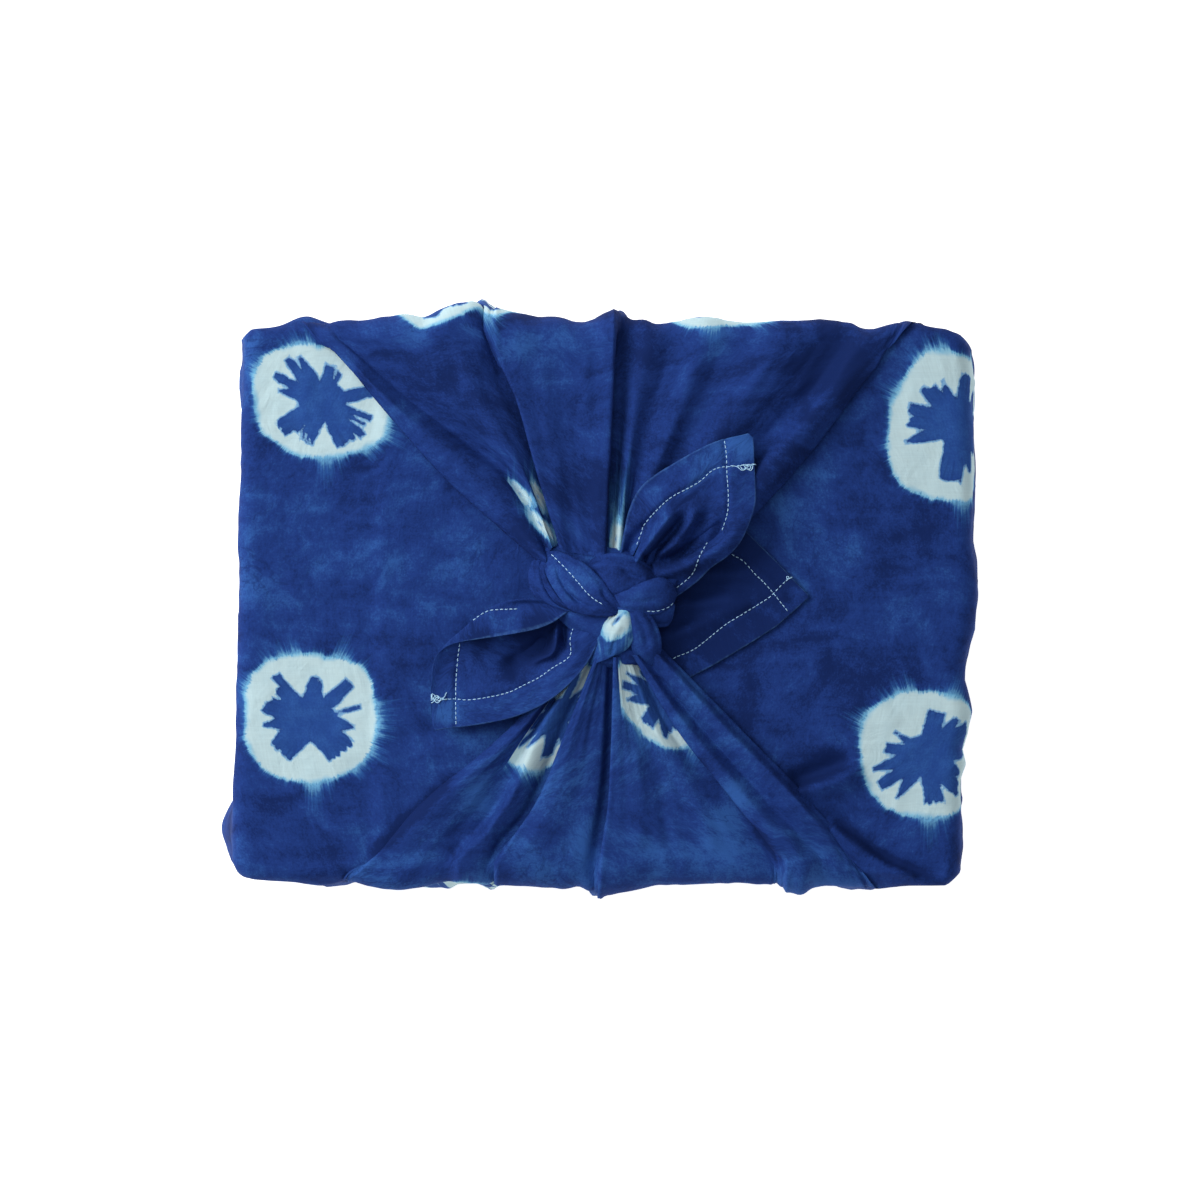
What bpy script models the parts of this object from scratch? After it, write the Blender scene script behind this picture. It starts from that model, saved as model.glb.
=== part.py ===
# Furoshiki wrap: a square cotton cloth folded round the shape of a low box
# and tied on top with one square knot.  One closed solid, metres, +Z up.
# All tables are in millimetres.
import math

import bmesh
import bpy
import numpy as np

for old in list(bpy.data.objects):
    bpy.data.objects.remove(old, do_unlink=True)

MM = 0.001
CLOTH = 1.0                      # sheet thickness
HALF_W, HALF_D = 154.5, 116.5    # mid-surface of the sides and of the gussets
LAYER = 2.2                      # mid-surface to mid-surface of two lying layers
Z_RIGHT = 96.8                   # right flap, lying on the wrapped contents
Z_LEFT = Z_RIGHT + LAYER         # left flap, lying on the right flap
Z_FAN = Z_LEFT + LAYER           # lowest layer of the gathered fans
Y_PANEL = HALF_D + LAYER         # lowest layer of the panels on the sides
FLAP_REACH = 243.3               # from the side over the top to the flap's tip
RIM = 7.0                        # rounding over the top edges
CORNER = 5.0                     # rounding round the upright corners


# ------------------------------------------------------------------ helpers
def smooth(a, b, t):
    s = min(1.0, max(0.0, (t - a) / (b - a)))
    return s * s * (3.0 - 2.0 * s)


def curve_through(stops, values, at):
    """Smooth curve through a few named stops, straight outside them."""
    stops, values = np.asarray(stops, float), np.asarray(values, float)
    slope = np.gradient(values, stops)
    k = int(np.clip(np.searchsorted(stops, at) - 1, 0, len(stops) - 2))
    step = stops[k + 1] - stops[k]
    t = min(1.0, max(0.0, (at - stops[k]) / step))
    return float((2 * t**3 - 3 * t**2 + 1) * values[k] + (t**3 - 2 * t**2 + t) * step * slope[k]
                 + (3 * t**2 - 2 * t**3) * values[k + 1] + (t**3 - t**2) * step * slope[k + 1])


def thick_sheet(name, grid, thickness=CLOTH):
    """Closed solid from a grid of mid-surface points, thickened both ways."""
    grid = np.asarray(grid, float)
    rows, cols = grid.shape[:2]
    mid = bmesh.new()
    verts = [[mid.verts.new(grid[i, j] * MM) for j in range(cols)] for i in range(rows)]
    for i in range(rows - 1):
        for j in range(cols - 1):
            mid.faces.new((verts[i][j], verts[i + 1][j], verts[i + 1][j + 1], verts[i][j + 1]))
    bmesh.ops.remove_doubles(mid, verts=mid.verts, dist=2e-5)
    bmesh.ops.triangulate(mid, faces=mid.faces)
    mid.normal_update()
    mid.verts.ensure_lookup_table()
    half = thickness * MM / 2
    outer = [v.co + v.normal * half for v in mid.verts]
    inner = [v.co - v.normal * half for v in mid.verts]
    count = len(outer)
    faces = [tuple(v.index for v in f.verts) for f in mid.faces]
    shell = faces + [tuple(k + count for k in reversed(f)) for f in faces]
    for edge in mid.edges:
        if len(edge.link_faces) == 1:
            loop = edge.link_loops[0]
            a, b = loop.vert.index, loop.link_loop_next.vert.index
            shell.append((b, a, a + count))
            shell.append((b, a + count, b + count))
    mid.free()
    mesh = bpy.data.meshes.new(name)
    mesh.from_pydata(outer + inner, [], shell)
    mesh.update()
    obj = bpy.data.objects.new(name, mesh)
    bpy.context.scene.collection.objects.link(obj)
    return obj


# ------------------------------------------- base band: bottom, sides, flaps
# The band is a loft of cross-sections, from the left flap's tip over the top,
# down the left side, along the bottom and up again to the right flap's tip.
# Each section has a point on the middle of the sheet, the outward direction
# of its face, its half depth, and how far it is folded round the corner
# behind it ("inward"); sections that meet on the mitre of a corner end there.
MITRES = (13.0, 28.0, 44.0)      # distances from the top edge paired on the mitre


def flap_sections(side, z_top):
    """From a flap's tip over the top and down the side to the bottom."""
    under = 1.6 if side < 0 else 0.0
    z_side = z_top - under
    bulge = 1.0 if side < 0 else 4.0
    out = []
    for reach in (0.0, 14.0, 60.0, 104.0):                      # the pointed flap
        out.append(dict(x=side * (HALF_W - FLAP_REACH + reach), z=z_top, dx=0.0, dz=1.0,
                        half=reach + 1.5, inward=0.0, shift=4.0 * (1 - smooth(0, 108, reach)), corner=0.0))
    for from_edge, half, corner, hang in ((120.0, 114.5, 0.0, 0.0), (88.0, HALF_D, 0.5, 1.0), (57.0, HALF_D, 1.0, 20.0)):
        out.append(dict(x=side * (HALF_W - from_edge), z=z_top - under * smooth(64, 56, from_edge), dx=0.0, dz=1.0,
                        half=half, inward=CORNER + hang, shift=0.0, corner=corner))
    for d in reversed(MITRES):
        out.append(dict(x=side * (HALF_W - d), z=z_side, dx=0.0, dz=1.0, half=HALF_D, inward=d, shift=0.0, corner=1.0))
    for degrees in (90.0, 45.0, 0.0):
        a = math.radians(degrees)
        out.append(dict(x=side * (HALF_W - RIM + RIM * math.cos(a)), z=z_side - RIM + RIM * math.sin(a),
                        dx=side * math.cos(a), dz=math.sin(a), half=HALF_D, inward=RIM, shift=0.0, corner=1.0))
    for d in MITRES:
        bow = bulge * math.sin(math.pi * d / z_side)
        out.append(dict(x=side * (HALF_W + bow), z=z_side - d, dx=side, dz=0.0, half=HALF_D,
                        inward=d + bow, shift=0.0, corner=1.0))
    for z in (36.0, 9.0):
        bow = bulge * math.sin(math.pi * z / z_side)
        out.append(dict(x=side * (HALF_W + bow), z=z, dx=side, dz=0.0, half=HALF_D,
                        inward=CORNER + 3.0 + 0.65 * z, shift=0.0, corner=1.0))
    out.append(dict(x=side * HALF_W, z=3.4, dx=side, dz=0.0, half=HALF_D, inward=CORNER + 2.0, shift=0.0, corner=0.55))
    out.append(dict(x=side * (HALF_W - 0.9), z=1.4, dx=side, dz=0.0, half=HALF_D, inward=CORNER, shift=0.0, corner=0.0))
    return out


def section_points(s, flats=4):
    """One section of the band, from the front gusset to the back gusset."""
    halves = []
    for sign in (-1, 1):
        pts = []
        for k in range(1, 5):                # two round the corner, two along the gusset
            a = math.radians(45.0 * min(k, 2))
            inward = CORNER * (1 - math.cos(a)) + max(0.0, s["inward"] - CORNER) * max(0, k - 2) / 2.0
            y_round = s["half"] - CORNER + CORNER * math.sin(a)
            y_flat = s["half"] - CORNER + (CORNER + 1.0) * k / 4.0
            if s["half"] < HALF_D:
                y_round = y_flat = s["half"] * (0.6 + 0.4 * k / 4.0)
            y = y_flat + (y_round - y_flat) * s["corner"]
            pts.append((s["x"] - s["dx"] * inward * s["corner"], sign * y + s["shift"],
                        s["z"] - s["dz"] * inward * s["corner"]))
        halves.append(pts)
    reach = s["half"] - CORNER if s["half"] >= HALF_D else s["half"] * 0.6
    middle = [(s["x"], (-1 + 2 * j / flats) * reach + s["shift"], s["z"]) for j in range(flats + 1)]
    return halves[0][::-1] + middle + halves[1]


left = flap_sections(-1, Z_LEFT)
right = flap_sections(1, Z_RIGHT)
bottom = [dict(x=x, z=CLOTH / 2, dx=0.0, dz=-1.0, half=HALF_D, inward=CORNER, shift=0.0, corner=0.0)
          for x in (-HALF_W + 2.8, -60.0, 60.0, HALF_W - 2.8)]
band = thick_sheet("band", [section_points(s) for s in left + bottom + right[::-1]])


# --------------------------------------------------- gathered back and front
# A row for each fold line, in order along the cloth.  edge/far/near: x where
# the line crosses the top edge, 86 mm and 54 mm from the middle; knot_x/knot_y:
# where it goes into the knot; side/top: height above the lowest layer on the
# side and on the top; turn: height of a sharp turn there (0 = soft).
COLUMNS = ("edge", "far", "near", "knot_x", "knot_y", "side", "top", "turn")
BACK = (
    # edge    far   near  knot_x knot_y side  top  turn
    (-122.6, -81.0, -43.0, -17.0, 24.5, 0.0, 0.0, 0.0),     # hem, turned under
    (-121.0, -96.0, -62.0, -23.5, 21.5, 1.2, 1.2, 2.4),     # left border
    (-115.0, -88.0, -53.5, -23.0, 23.5, 4.6, 6.8, 0.0),     # border roll
    (-101.0, -79.0, -42.0, -22.0, 25.5, 2.4, 3.6, 0.0),
    (-73.5, -56.0, -34.5, -21.0, 27.0, 4.0, 5.6, 0.0),
    (-57.0, -41.0, -30.0, -20.0, 27.5, 5.0, 3.4, 0.0),      # goes under the next
    (-50.0, -28.0, -20.5, -16.0, 26.5, 4.6, 3.2, 2.4),      # hidden turn
    (-47.0, -38.0, -28.5, -17.5, 28.0, 8.4, 7.0, 2.2),      # lapped edge
    (-22.5, -18.0, -13.5, -9.0, 25.0, 6.8, 8.8, 0.0),
    (5.0, 3.5, 3.0, 1.5, 23.5, 6.6, 8.2, -2.2),             # upright lapped edge
    (8.0, -8.0, -6.0, -3.0, 23.0, 3.4, 4.6, -2.4),         # hidden turn
    (12.5, 9.0, 7.0, 4.5, 22.0, 1.2, 2.2, 0.0),
    (24.0, 18.0, 11.5, 8.0, 21.5, 2.2, 4.8, 0.0),
    (37.0, 28.5, 17.5, 12.0, 21.0, 1.4, 3.0, 0.0),
    (58.0, 48.0, 30.0, 16.0, 19.5, 2.2, 4.8, 0.0),
    (84.0, 67.0, 43.0, 20.0, 17.5, 1.8, 5.2, 0.0),
    (105.0, 83.0, 54.0, 23.5, 15.0, 1.4, 3.2, 0.0),         # valley by the roll
    (114.0, 93.0, 67.0, 26.5, 12.0, 4.4, 7.4, 0.0),         # right border roll
    (122.0, 102.0, 77.5, 29.0, 8.5, 3.6, 3.8, -2.4),        # right border
    (124.0, 82.0, 55.0, 23.0, 10.0, 0.0, 0.0, 0.0),          # hem, turned under
)
FRONT = (
    (-104.5, -54.0, -23.0, -4.0, -23.5, 0.0, 0.0, 0.0),      # hem, turned under
    (-102.5, -75.0, -40.0, -10.5, -23.5, 1.2, 1.2, 2.4),    # left border
    (-94.0, -67.5, -34.0, -9.0, -24.0, 4.4, 6.4, 0.0),      # border roll
    (-70.0, -48.0, -29.0, -7.0, -24.5, 1.8, 3.8, 0.0),
    (-56.0, -38.0, -24.5, -5.0, -25.0, 3.6, 6.2, 0.0),
    (-49.0, -28.0, -17.5, -3.0, -25.0, 2.4, 3.6, 0.0),      # goes under the next
    (-43.0, -15.0, -8.5, -0.5, -24.5, 2.2, 3.2, 2.4),       # hidden turn
    (-40.0, -24.5, -15.0, -1.5, -26.0, 5.6, 6.6, 2.0),      # lapped edge
    (-17.5, -9.5, -4.0, 1.5, -25.0, 5.6, 6.6, 0.0),
    (-6.0, 2.5, 3.8, 4.0, -24.5, 3.4, 4.0, 0.0),            # goes under the next
    (-2.0, 15.5, 13.5, 7.0, -24.0, 3.0, 3.6, 2.4),          # hidden turn
    (1.0, 4.5, 5.8, 6.0, -25.5, 6.4, 7.4, 2.0),             # lapped edge
    (39.5, 31.0, 21.5, 10.0, -24.5, 4.0, 6.8, 0.0),
    (72.0, 57.0, 33.0, 12.5, -23.5, 1.6, 3.6, 0.0),         # goes under the next
    (77.0, 73.0, 45.0, 15.0, -22.5, 1.6, 2.6, 2.4),         # hidden turn
    (80.0, 60.5, 35.5, 14.5, -24.5, 5.2, 6.2, 2.0),         # lapped edge
    (93.0, 72.0, 43.0, 17.0, -24.0, 6.6, 8.6, 0.0),
    (101.0, 79.0, 48.0, 19.5, -23.0, 5.2, 6.0, 0.0),
    (109.0, 85.5, 53.0, 21.5, -22.0, 4.8, 7.4, 0.0),        # right border roll
    (115.0, 91.0, 58.0, 24.0, -21.0, 3.6, 3.8, -2.4),       # right border
    (117.0, 72.0, 41.0, 18.0, -21.0, 0.0, 0.0, 0.0),         # hem, turned under
)
FOOT_HALF = 150.0                # half width of a panel along the bottom edge


def fold_lines(table):
    """Every row as one line, or as three round a sharp turn."""
    rows = [dict(zip(COLUMNS, row)) for row in table]
    lines = []
    for k, row in enumerate(rows):
        if not row["turn"]:
            lines.append(dict(row))
            continue
        going = math.copysign(1.0, row["far"] - rows[k - 1]["far"])
        for part, push in ((0.0, -0.5), (0.5, 0.5), (1.0, -0.5)):
            line = dict(row)
            for key in ("far", "near", "knot_x"):
                line[key] += going * push * abs(row["turn"]) * 0.5
            line["edge"] += 1.4 * (part - 0.5)
            line["side"] += row["turn"] * part
            line["top"] += row["turn"] * part
            lines.append(line)
    run = [0.0]
    for a, b in zip(lines, lines[1:]):
        step = math.hypot(b["far"] - a["far"], b["top"] - a["top"])
        run.append(run[-1] + max(step, 3.5))
    for line, r in zip(lines, run):
        line["foot"] = FOOT_HALF * (2 * r / run[-1] - 1)
    return lines


def fan_base(x):
    """Height of the lowest fan layer: it steps down off the left flap."""
    return Z_FAN - 1.6 * smooth(70.0, 105.0, x) - 1.2 * smooth(-95.0, -125.0, x)


SIDE_STOPS = (0.5, 5.0, 34.0, 62.0, 82.0)
TOP_STOPS = (106.0, 99.0, 84.0, 68.0, 54.0)


def fold_path(line, sign):
    """Points of one fold line, from the bottom edge to the knot."""
    pts = []
    for z in SIDE_STOPS:
        x = line["foot"] + (line["edge"] - line["foot"]) * z / 95.0
        grow = smooth(2.0, 60.0, z)
        y = HALF_D + 0.5 + (LAYER - 0.5) * smooth(0.5, 5.0, z) + line["side"] * grow
        pts.append((x, sign * y, z))
    for degrees in (0.0, 45.0, 90.0):
        a = math.radians(degrees)
        h = line["side"] + (line["top"] - line["side"]) * degrees / 110.0
        radius = RIM + h
        base = fan_base(line["edge"])
        pts.append((line["edge"], sign * (Y_PANEL - RIM + radius * math.cos(a)), base - RIM + radius * math.sin(a)))
    end = abs(line["knot_y"]) - 3.5
    stops = (-112.0, -86.0, -54.0, -end)
    xs = (line["edge"], line["far"], line["near"], line["knot_x"])
    for y in TOP_STOPS + (54.0 + (end - 54.0) * 0.5, end):
        x = curve_through(stops, xs, -y)
        h = line["side"] + (line["top"] - line["side"]) * min(1.0, 0.82 + 0.18 * smooth(110, 96, y))
        ending = (54.0 - y) / (54.0 - end) if y < 54.0 else 0.0
        pts.append((x, sign * y, fan_base(x) + h * (1 - 0.35 * ending) + 1.5 * ending * ending))
    return pts


back = thick_sheet("back", [fold_path(line, 1) for line in fold_lines(BACK)])
front = thick_sheet("front", [fold_path(line, -1) for line in fold_lines(FRONT)])


# ------------------------------------------------------------ knot and tails
# Gathered strands of the knot: a row for each section along a strand.
STRANDS = {
    "from_back": (      # x, y, z, half width, half thickness, roll
        (-26.0, 22.5, 107.0, 4.0, 3.0, 0.0), (-19.0, 14.5, 112.5, 10.0, 4.5, 6.0),
        (-9.0, 6.5, 117.0, 12.0, 5.0, 6.0), (2.0, 0.5, 119.0, 9.5, 5.0, 0.0),
        (11.0, -5.5, 115.5, 6.5, 4.5, 0.0), (16.0, -10.0, 110.5, 5.0, 4.0, 0.0)),
    "arch": (
        (-9.0, 10.0, 111.5, 6.0, 4.0, -8.0), (0.0, 14.0, 116.5, 8.0, 5.0, -6.0),
        (11.0, 13.5, 119.5, 8.5, 5.5, 0.0), (20.5, 9.0, 118.0, 8.0, 5.0, 6.0), (27.0, 3.0, 112.0, 6.0, 4.0, 10.0)),
    "right_lobe": (
        (4.0, 0.0, 117.0, 4.5, 4.0, 0.0), (13.5, 2.0, 121.0, 7.0, 4.8, 0.0),
        (23.0, 3.0, 120.0, 7.5, 4.8, 6.0), (31.0, 1.0, 114.0, 5.0, 4.0, 10.0)),
    "from_front": (
        (22.0, -27.0, 106.5, 6.0, 3.5, 0.0), (19.5, -17.0, 112.0, 8.5, 4.8, 0.0),
        (16.0, -8.0, 116.5, 8.0, 5.0, 0.0), (11.0, -1.0, 117.5, 6.0, 4.5, 0.0)),
    "middle_lobe": (
        (2.0, -25.0, 107.0, 5.5, 4.0, 0.0), (3.0, -16.0, 113.5, 7.5, 5.0, 0.0),
        (7.5, -8.0, 118.0, 7.0, 5.0, 0.0), (12.0, -1.5, 119.0, 5.0, 4.0, 0.0)),
    "neck_back": (
        (-25.0, 19.0, 105.5, 4.5, 3.2, 0.0), (-18.0, 22.0, 106.5, 5.0, 4.2, 0.0), (-6.0, 20.5, 107.5, 5.5, 5.0, 0.0),
        (8.0, 19.0, 107.5, 5.5, 5.0, 0.0), (19.0, 14.5, 106.5, 5.0, 4.4, 0.0), (27.5, 6.0, 105.0, 4.5, 3.2, 0.0)),
    "neck_front": (
        (-12.0, -18.5, 105.0, 4.5, 3.2, 0.0), (-5.0, -21.0, 106.5, 5.0, 4.4, 0.0), (5.0, -21.5, 107.5, 5.5, 5.0, 0.0),
        (15.0, -20.5, 107.0, 5.5, 4.6, 0.0), (24.0, -17.0, 105.5, 4.5, 3.2, 0.0)),
    "core": (
        (-21.0, 11.0, 107.0, 9.0, 4.5, 0.0), (-8.0, 4.5, 109.5, 16.0, 7.5, 0.0),
        (8.0, -3.0, 110.0, 17.0, 7.5, 0.0), (21.0, -9.0, 107.5, 10.0, 4.5, 0.0)),
}


def strand(name, rows, around=12, per_span=2):
    """Closed lobe of gathered cloth with a few lengthwise creases."""
    rows = np.asarray(rows, float)
    stops = np.arange(len(rows))
    rings = []
    count = (len(rows) - 1) * per_span + 1
    at = [np.array([curve_through(stops, rows[:, c], i / per_span) for c in range(6)]) for i in range(count)]
    for i, row in enumerate(at):
        ahead = at[min(i + 1, count - 1)][:3] - at[max(i - 1, 0)][:3]
        ahead /= np.linalg.norm(ahead)
        across = np.cross(ahead, (0, 0, 1.0))
        across /= np.linalg.norm(across)
        up = np.cross(across, ahead)
        roll = math.radians(row[5])
        wide = across * math.cos(roll) + up * math.sin(roll)
        high = up * math.cos(roll) - across * math.sin(roll)
        end = 0.72 if i in (0, count - 1) else 1.0
        ring = []
        for j in range(around):
            a = 2 * math.pi * j / around
            crease = 1.0 - 0.09 * (0.5 + 0.5 * math.cos(a * around / 2 + i * 0.35))
            c, s = math.cos(a), math.sin(a)
            ring.append(row[:3] + end * crease * (wide * row[3] * math.copysign(abs(c) ** 0.85, c)
                                                  + high * row[4] * math.copysign(abs(s) ** 0.85, s)))
        rings.append(ring)
    verts = [p * MM for ring in rings for p in ring]
    faces = []
    for i in range(count - 1):
        for j in range(around):
            a, b = i * around + j, i * around + (j + 1) % around
            faces += [(a, b, b + around), (a, b + around, a + around)]
    for ring, order in ((0, -1), (count - 1, 1)):
        centre = len(verts)
        verts.append(np.mean(rings[ring], axis=0) * MM)
        for j in range(around):
            a, b = ring * around + j, ring * around + (j + 1) % around
            faces.append((a, b, centre)[::order])
    mesh = bpy.data.meshes.new(name)
    mesh.from_pydata([tuple(v) for v in verts], [], faces)
    mesh.update()
    obj = bpy.data.objects.new(name, mesh)
    bpy.context.scene.collection.objects.link(obj)
    return obj


# Tails: a row for each cross-line from the knot out to the corner, with
# x, y, z of each named line along the tail.
TAIL_BACK_LINES = ("left_hem", "left_ridge", "valley", "right_ridge", "right_hem")
TAIL_BACK = (
    ((8.0, 16.0, 116.0), (14.0, 13.0, 118.0), (19.0, 10.0, 115.0), (25.0, 8.0, 117.0), (31.0, 4.0, 111.0)),
    ((9.0, 24.0, 117.0), (17.0, 22.0, 120.0), (25.0, 18.0, 116.0), (33.0, 15.0, 119.0), (39.0, 8.0, 111.5)),
    ((11.5, 38.0, 116.0), (22.0, 33.0, 120.0), (32.0, 28.0, 116.0), (43.0, 24.0, 119.0), (50.0, 16.0, 111.5)),
    ((19.0, 51.0, 114.5), (29.0, 44.0, 119.5), (39.0, 37.0, 115.5), (51.0, 33.0, 118.0), (59.0, 27.0, 111.0)),
    ((33.5, 61.5, 113.0), (40.0, 53.0, 117.5), (47.0, 47.0, 115.0), (56.0, 44.0, 116.0), (64.0, 41.0, 110.5)),
    ((51.0, 69.0, 111.0), (54.0, 63.0, 114.0), (58.0, 59.0, 112.5), (61.0, 57.0, 112.5), (65.0, 55.0, 109.5)),
    ((62.0, 71.5, 109.0), (62.6, 71.0, 109.6), (63.2, 70.5, 109.6), (63.8, 70.0, 109.4), (64.5, 69.0, 109.0)),
)
TAIL_FRONT_LINES = ("lower_hem", "floor", "pocket", "upper_turn", "upper_hem")
TAIL_FRONT = (
    ((1.0, -5.0, 114.0), (-4.0, -4.5, 113.0), (-8.0, -4.0, 112.0), (-12.0, 0.5, 114.0), (-10.0, -3.5, 116.5)),
    ((-1.0, -15.0, 112.5), (-9.0, -11.5, 112.0), (-15.0, -6.5, 109.5), (-19.0, 2.0, 113.5), (-16.0, -6.0, 116.0)),
    ((-4.0, -24.5, 111.0), (-17.0, -18.0, 110.5), (-24.0, -7.5, 108.0), (-28.0, 2.5, 112.5), (-25.0, -9.5, 115.0)),
    ((-17.0, -37.0, 110.0), (-30.0, -25.0, 109.5), (-34.0, -8.0, 107.0), (-38.0, 1.5, 111.5), (-34.0, -12.5, 113.5)),
    ((-38.0, -47.5, 110.0), (-47.0, -32.0, 109.0), (-49.0, -10.0, 105.5), (-51.5, -1.5, 110.0), (-48.5, -15.0, 112.0)),
    ((-55.5, -51.0, 109.0), (-61.5, -37.0, 108.0), (-63.0, -19.0, 105.0), (-62.0, -10.5, 108.5), (-60.5, -16.0, 111.0)),
    ((-71.5, -52.5, 107.5), (-72.0, -39.0, 107.5), (-71.5, -27.0, 106.0), (-68.5, -18.5, 107.5), (-67.0, -18.6, 109.6)),
)


def tail_grid(table, finer=2):
    table = np.asarray(table, float)
    rows, cols = table.shape[:2]
    out = np.zeros(((rows - 1) * finer + 1, (cols - 1) * finer + 1, 3))
    for i in range(out.shape[0]):
        across = np.array([[curve_through(np.arange(rows), table[:, j, c], i / finer) for c in range(3)]
                           for j in range(cols)])
        for j in range(out.shape[1]):
            out[i, j] = [curve_through(np.arange(cols), across[:, c], j / finer) for c in range(3)]
    return out


pieces = [band, back, front]
pieces += [strand(name, rows) for name, rows in STRANDS.items()]
pieces += [thick_sheet("tail_back", tail_grid(TAIL_BACK)), thick_sheet("tail_front", tail_grid(TAIL_FRONT))]

# ------------------------------------------------------------- one solid
cloth = pieces[0]
for other in pieces[1:]:
    join = cloth.modifiers.new("join", "BOOLEAN")
    join.operation, join.solver, join.object = "UNION", "EXACT", other
    other.hide_render = True
    bpy.context.view_layer.update()
    done = bpy.data.meshes.new_from_object(cloth.evaluated_get(bpy.context.evaluated_depsgraph_get()))
    cloth.modifiers.remove(join)
    cloth.data = done
    bpy.data.objects.remove(other, do_unlink=True)

tidy = bmesh.new()
tidy.from_mesh(cloth.data)
bmesh.ops.dissolve_limit(tidy, angle_limit=math.radians(0.6), verts=tidy.verts, edges=tidy.edges)
bmesh.ops.triangulate(tidy, faces=tidy.faces)
bmesh.ops.remove_doubles(tidy, verts=tidy.verts, dist=2e-5)
bmesh.ops.dissolve_degenerate(tidy, edges=tidy.edges, dist=1e-5)
bmesh.ops.triangulate(tidy, faces=tidy.faces)
# pockets shut in between the packed strands of the knot are filled
shells, unseen = [], set(tidy.verts)
while unseen:
    shell, edge_of = set(), [next(iter(unseen))]
    while edge_of:
        vert = edge_of.pop()
        if vert in unseen:
            unseen.discard(vert)
            shell.add(vert)
            edge_of += [edge.other_vert(vert) for edge in vert.link_edges]
    shells.append(shell)
shells.sort(key=len)
bmesh.ops.delete(tidy, geom=[vert for shell in shells[:-1] for vert in shell], context="VERTS")
tidy.to_mesh(cloth.data)
tidy.free()
cloth.name = cloth.data.name = "wrap_cloth"
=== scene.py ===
import math

import bpy
import numpy as np
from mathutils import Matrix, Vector
from mathutils.bvhtree import BVHTree


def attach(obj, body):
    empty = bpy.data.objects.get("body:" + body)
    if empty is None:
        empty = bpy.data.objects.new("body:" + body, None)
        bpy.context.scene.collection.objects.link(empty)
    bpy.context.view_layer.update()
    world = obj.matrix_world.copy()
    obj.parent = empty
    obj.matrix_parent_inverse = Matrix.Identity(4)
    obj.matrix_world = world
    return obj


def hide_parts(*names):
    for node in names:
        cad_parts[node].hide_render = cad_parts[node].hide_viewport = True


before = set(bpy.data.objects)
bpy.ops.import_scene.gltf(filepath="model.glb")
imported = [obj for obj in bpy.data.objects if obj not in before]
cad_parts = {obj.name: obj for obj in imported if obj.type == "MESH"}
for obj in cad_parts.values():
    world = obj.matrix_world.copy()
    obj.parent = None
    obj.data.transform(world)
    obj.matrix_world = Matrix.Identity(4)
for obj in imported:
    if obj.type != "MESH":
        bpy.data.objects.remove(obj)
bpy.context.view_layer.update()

MM = 0.001
PLAN_SCALE, PLAN_X, PLAN_Y, PLAN_TURN = 0.425, 600.0, 605.0, math.radians(0.62)

HALF_W, HALF_D = 154.5, 116.5
LAYER = 2.2
Z_RIGHT = 96.8
Z_LEFT = Z_RIGHT + LAYER
Z_FAN = Z_LEFT + LAYER
Y_PANEL = HALF_D + LAYER
FLAP_REACH = 243.3
RIM = 7.0
CORNER = 5.0
LAP = 4.0
HEM = 11.5                      # width of the stitched hem
STITCH_PITCH = 2.05


# ------------------------------------------------------------------ helpers
def plan(points):
    """Plan-view points to millimetres of the object."""
    p = np.asarray(points, float)
    x, y = (p[..., 0] - PLAN_X) * PLAN_SCALE, (PLAN_Y - p[..., 1]) * PLAN_SCALE
    c, s = math.cos(PLAN_TURN), math.sin(PLAN_TURN)
    return np.stack([x * c - y * s, x * s + y * c], axis=-1)


def smooth(a, b, t):
    s = np.clip((np.asarray(t, float) - a) / (b - a), 0.0, 1.0)
    return s * s * (3.0 - 2.0 * s)


def pchip(xs, ys, at):
    """Monotone cubic through (xs, ys); ys may have several columns."""
    xs, ys, at = np.asarray(xs, float), np.asarray(ys, float), np.asarray(at, float)
    flat = ys.ndim == 1
    if flat:
        ys = ys[:, None]
    h = np.diff(xs)[:, None]
    d = np.diff(ys, axis=0) / h
    m = np.zeros_like(ys)
    same = d[1:] * d[:-1] > 0
    w1, w2 = 2 * h[1:] + h[:-1], h[1:] + 2 * h[:-1]
    with np.errstate(divide="ignore", invalid="ignore"):
        inner = (w1 + w2) / (w1 / d[:-1] + w2 / d[1:])
    m[1:-1] = np.where(same, inner, 0.0)
    m[0], m[-1] = d[0], d[-1]
    k = np.clip(np.searchsorted(xs, at, side="right") - 1, 0, len(xs) - 2)
    t = np.clip((at - xs[k]) / (xs[k + 1] - xs[k]), 0.0, 1.0)[:, None]
    step = h[k]
    out = ((2 * t**3 - 3 * t**2 + 1) * ys[k] + (t**3 - 2 * t**2 + t) * step * m[k]
           + (3 * t**2 - 2 * t**3) * ys[k + 1] + (t**3 - t**2) * step * m[k + 1])
    return out[:, 0] if flat else out


def spline(xs, ys, at):
    """Smooth (Catmull-Rom) curve through stops, for positions."""
    xs, ys, at = np.asarray(xs, float), np.asarray(ys, float), np.asarray(at, float)
    flat = ys.ndim == 1
    if flat:
        ys = ys[:, None]
    m = np.gradient(ys, xs, axis=0)
    k = np.clip(np.searchsorted(xs, at, side="right") - 1, 0, len(xs) - 2)
    t = np.clip((at - xs[k]) / (xs[k + 1] - xs[k]), 0.0, 1.0)[:, None]
    step = (xs[k + 1] - xs[k])[:, None]
    out = ((2 * t**3 - 3 * t**2 + 1) * ys[k] + (t**3 - 2 * t**2 + t) * step * m[k]
           + (3 * t**2 - 2 * t**3) * ys[k + 1] + (t**3 - t**2) * step * m[k + 1])
    return out[:, 0] if flat else out


def run_length(points):
    """Running length along a line of points."""
    return np.concatenate([[0.0], np.cumsum(np.linalg.norm(np.diff(points, axis=0), axis=1))])


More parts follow.
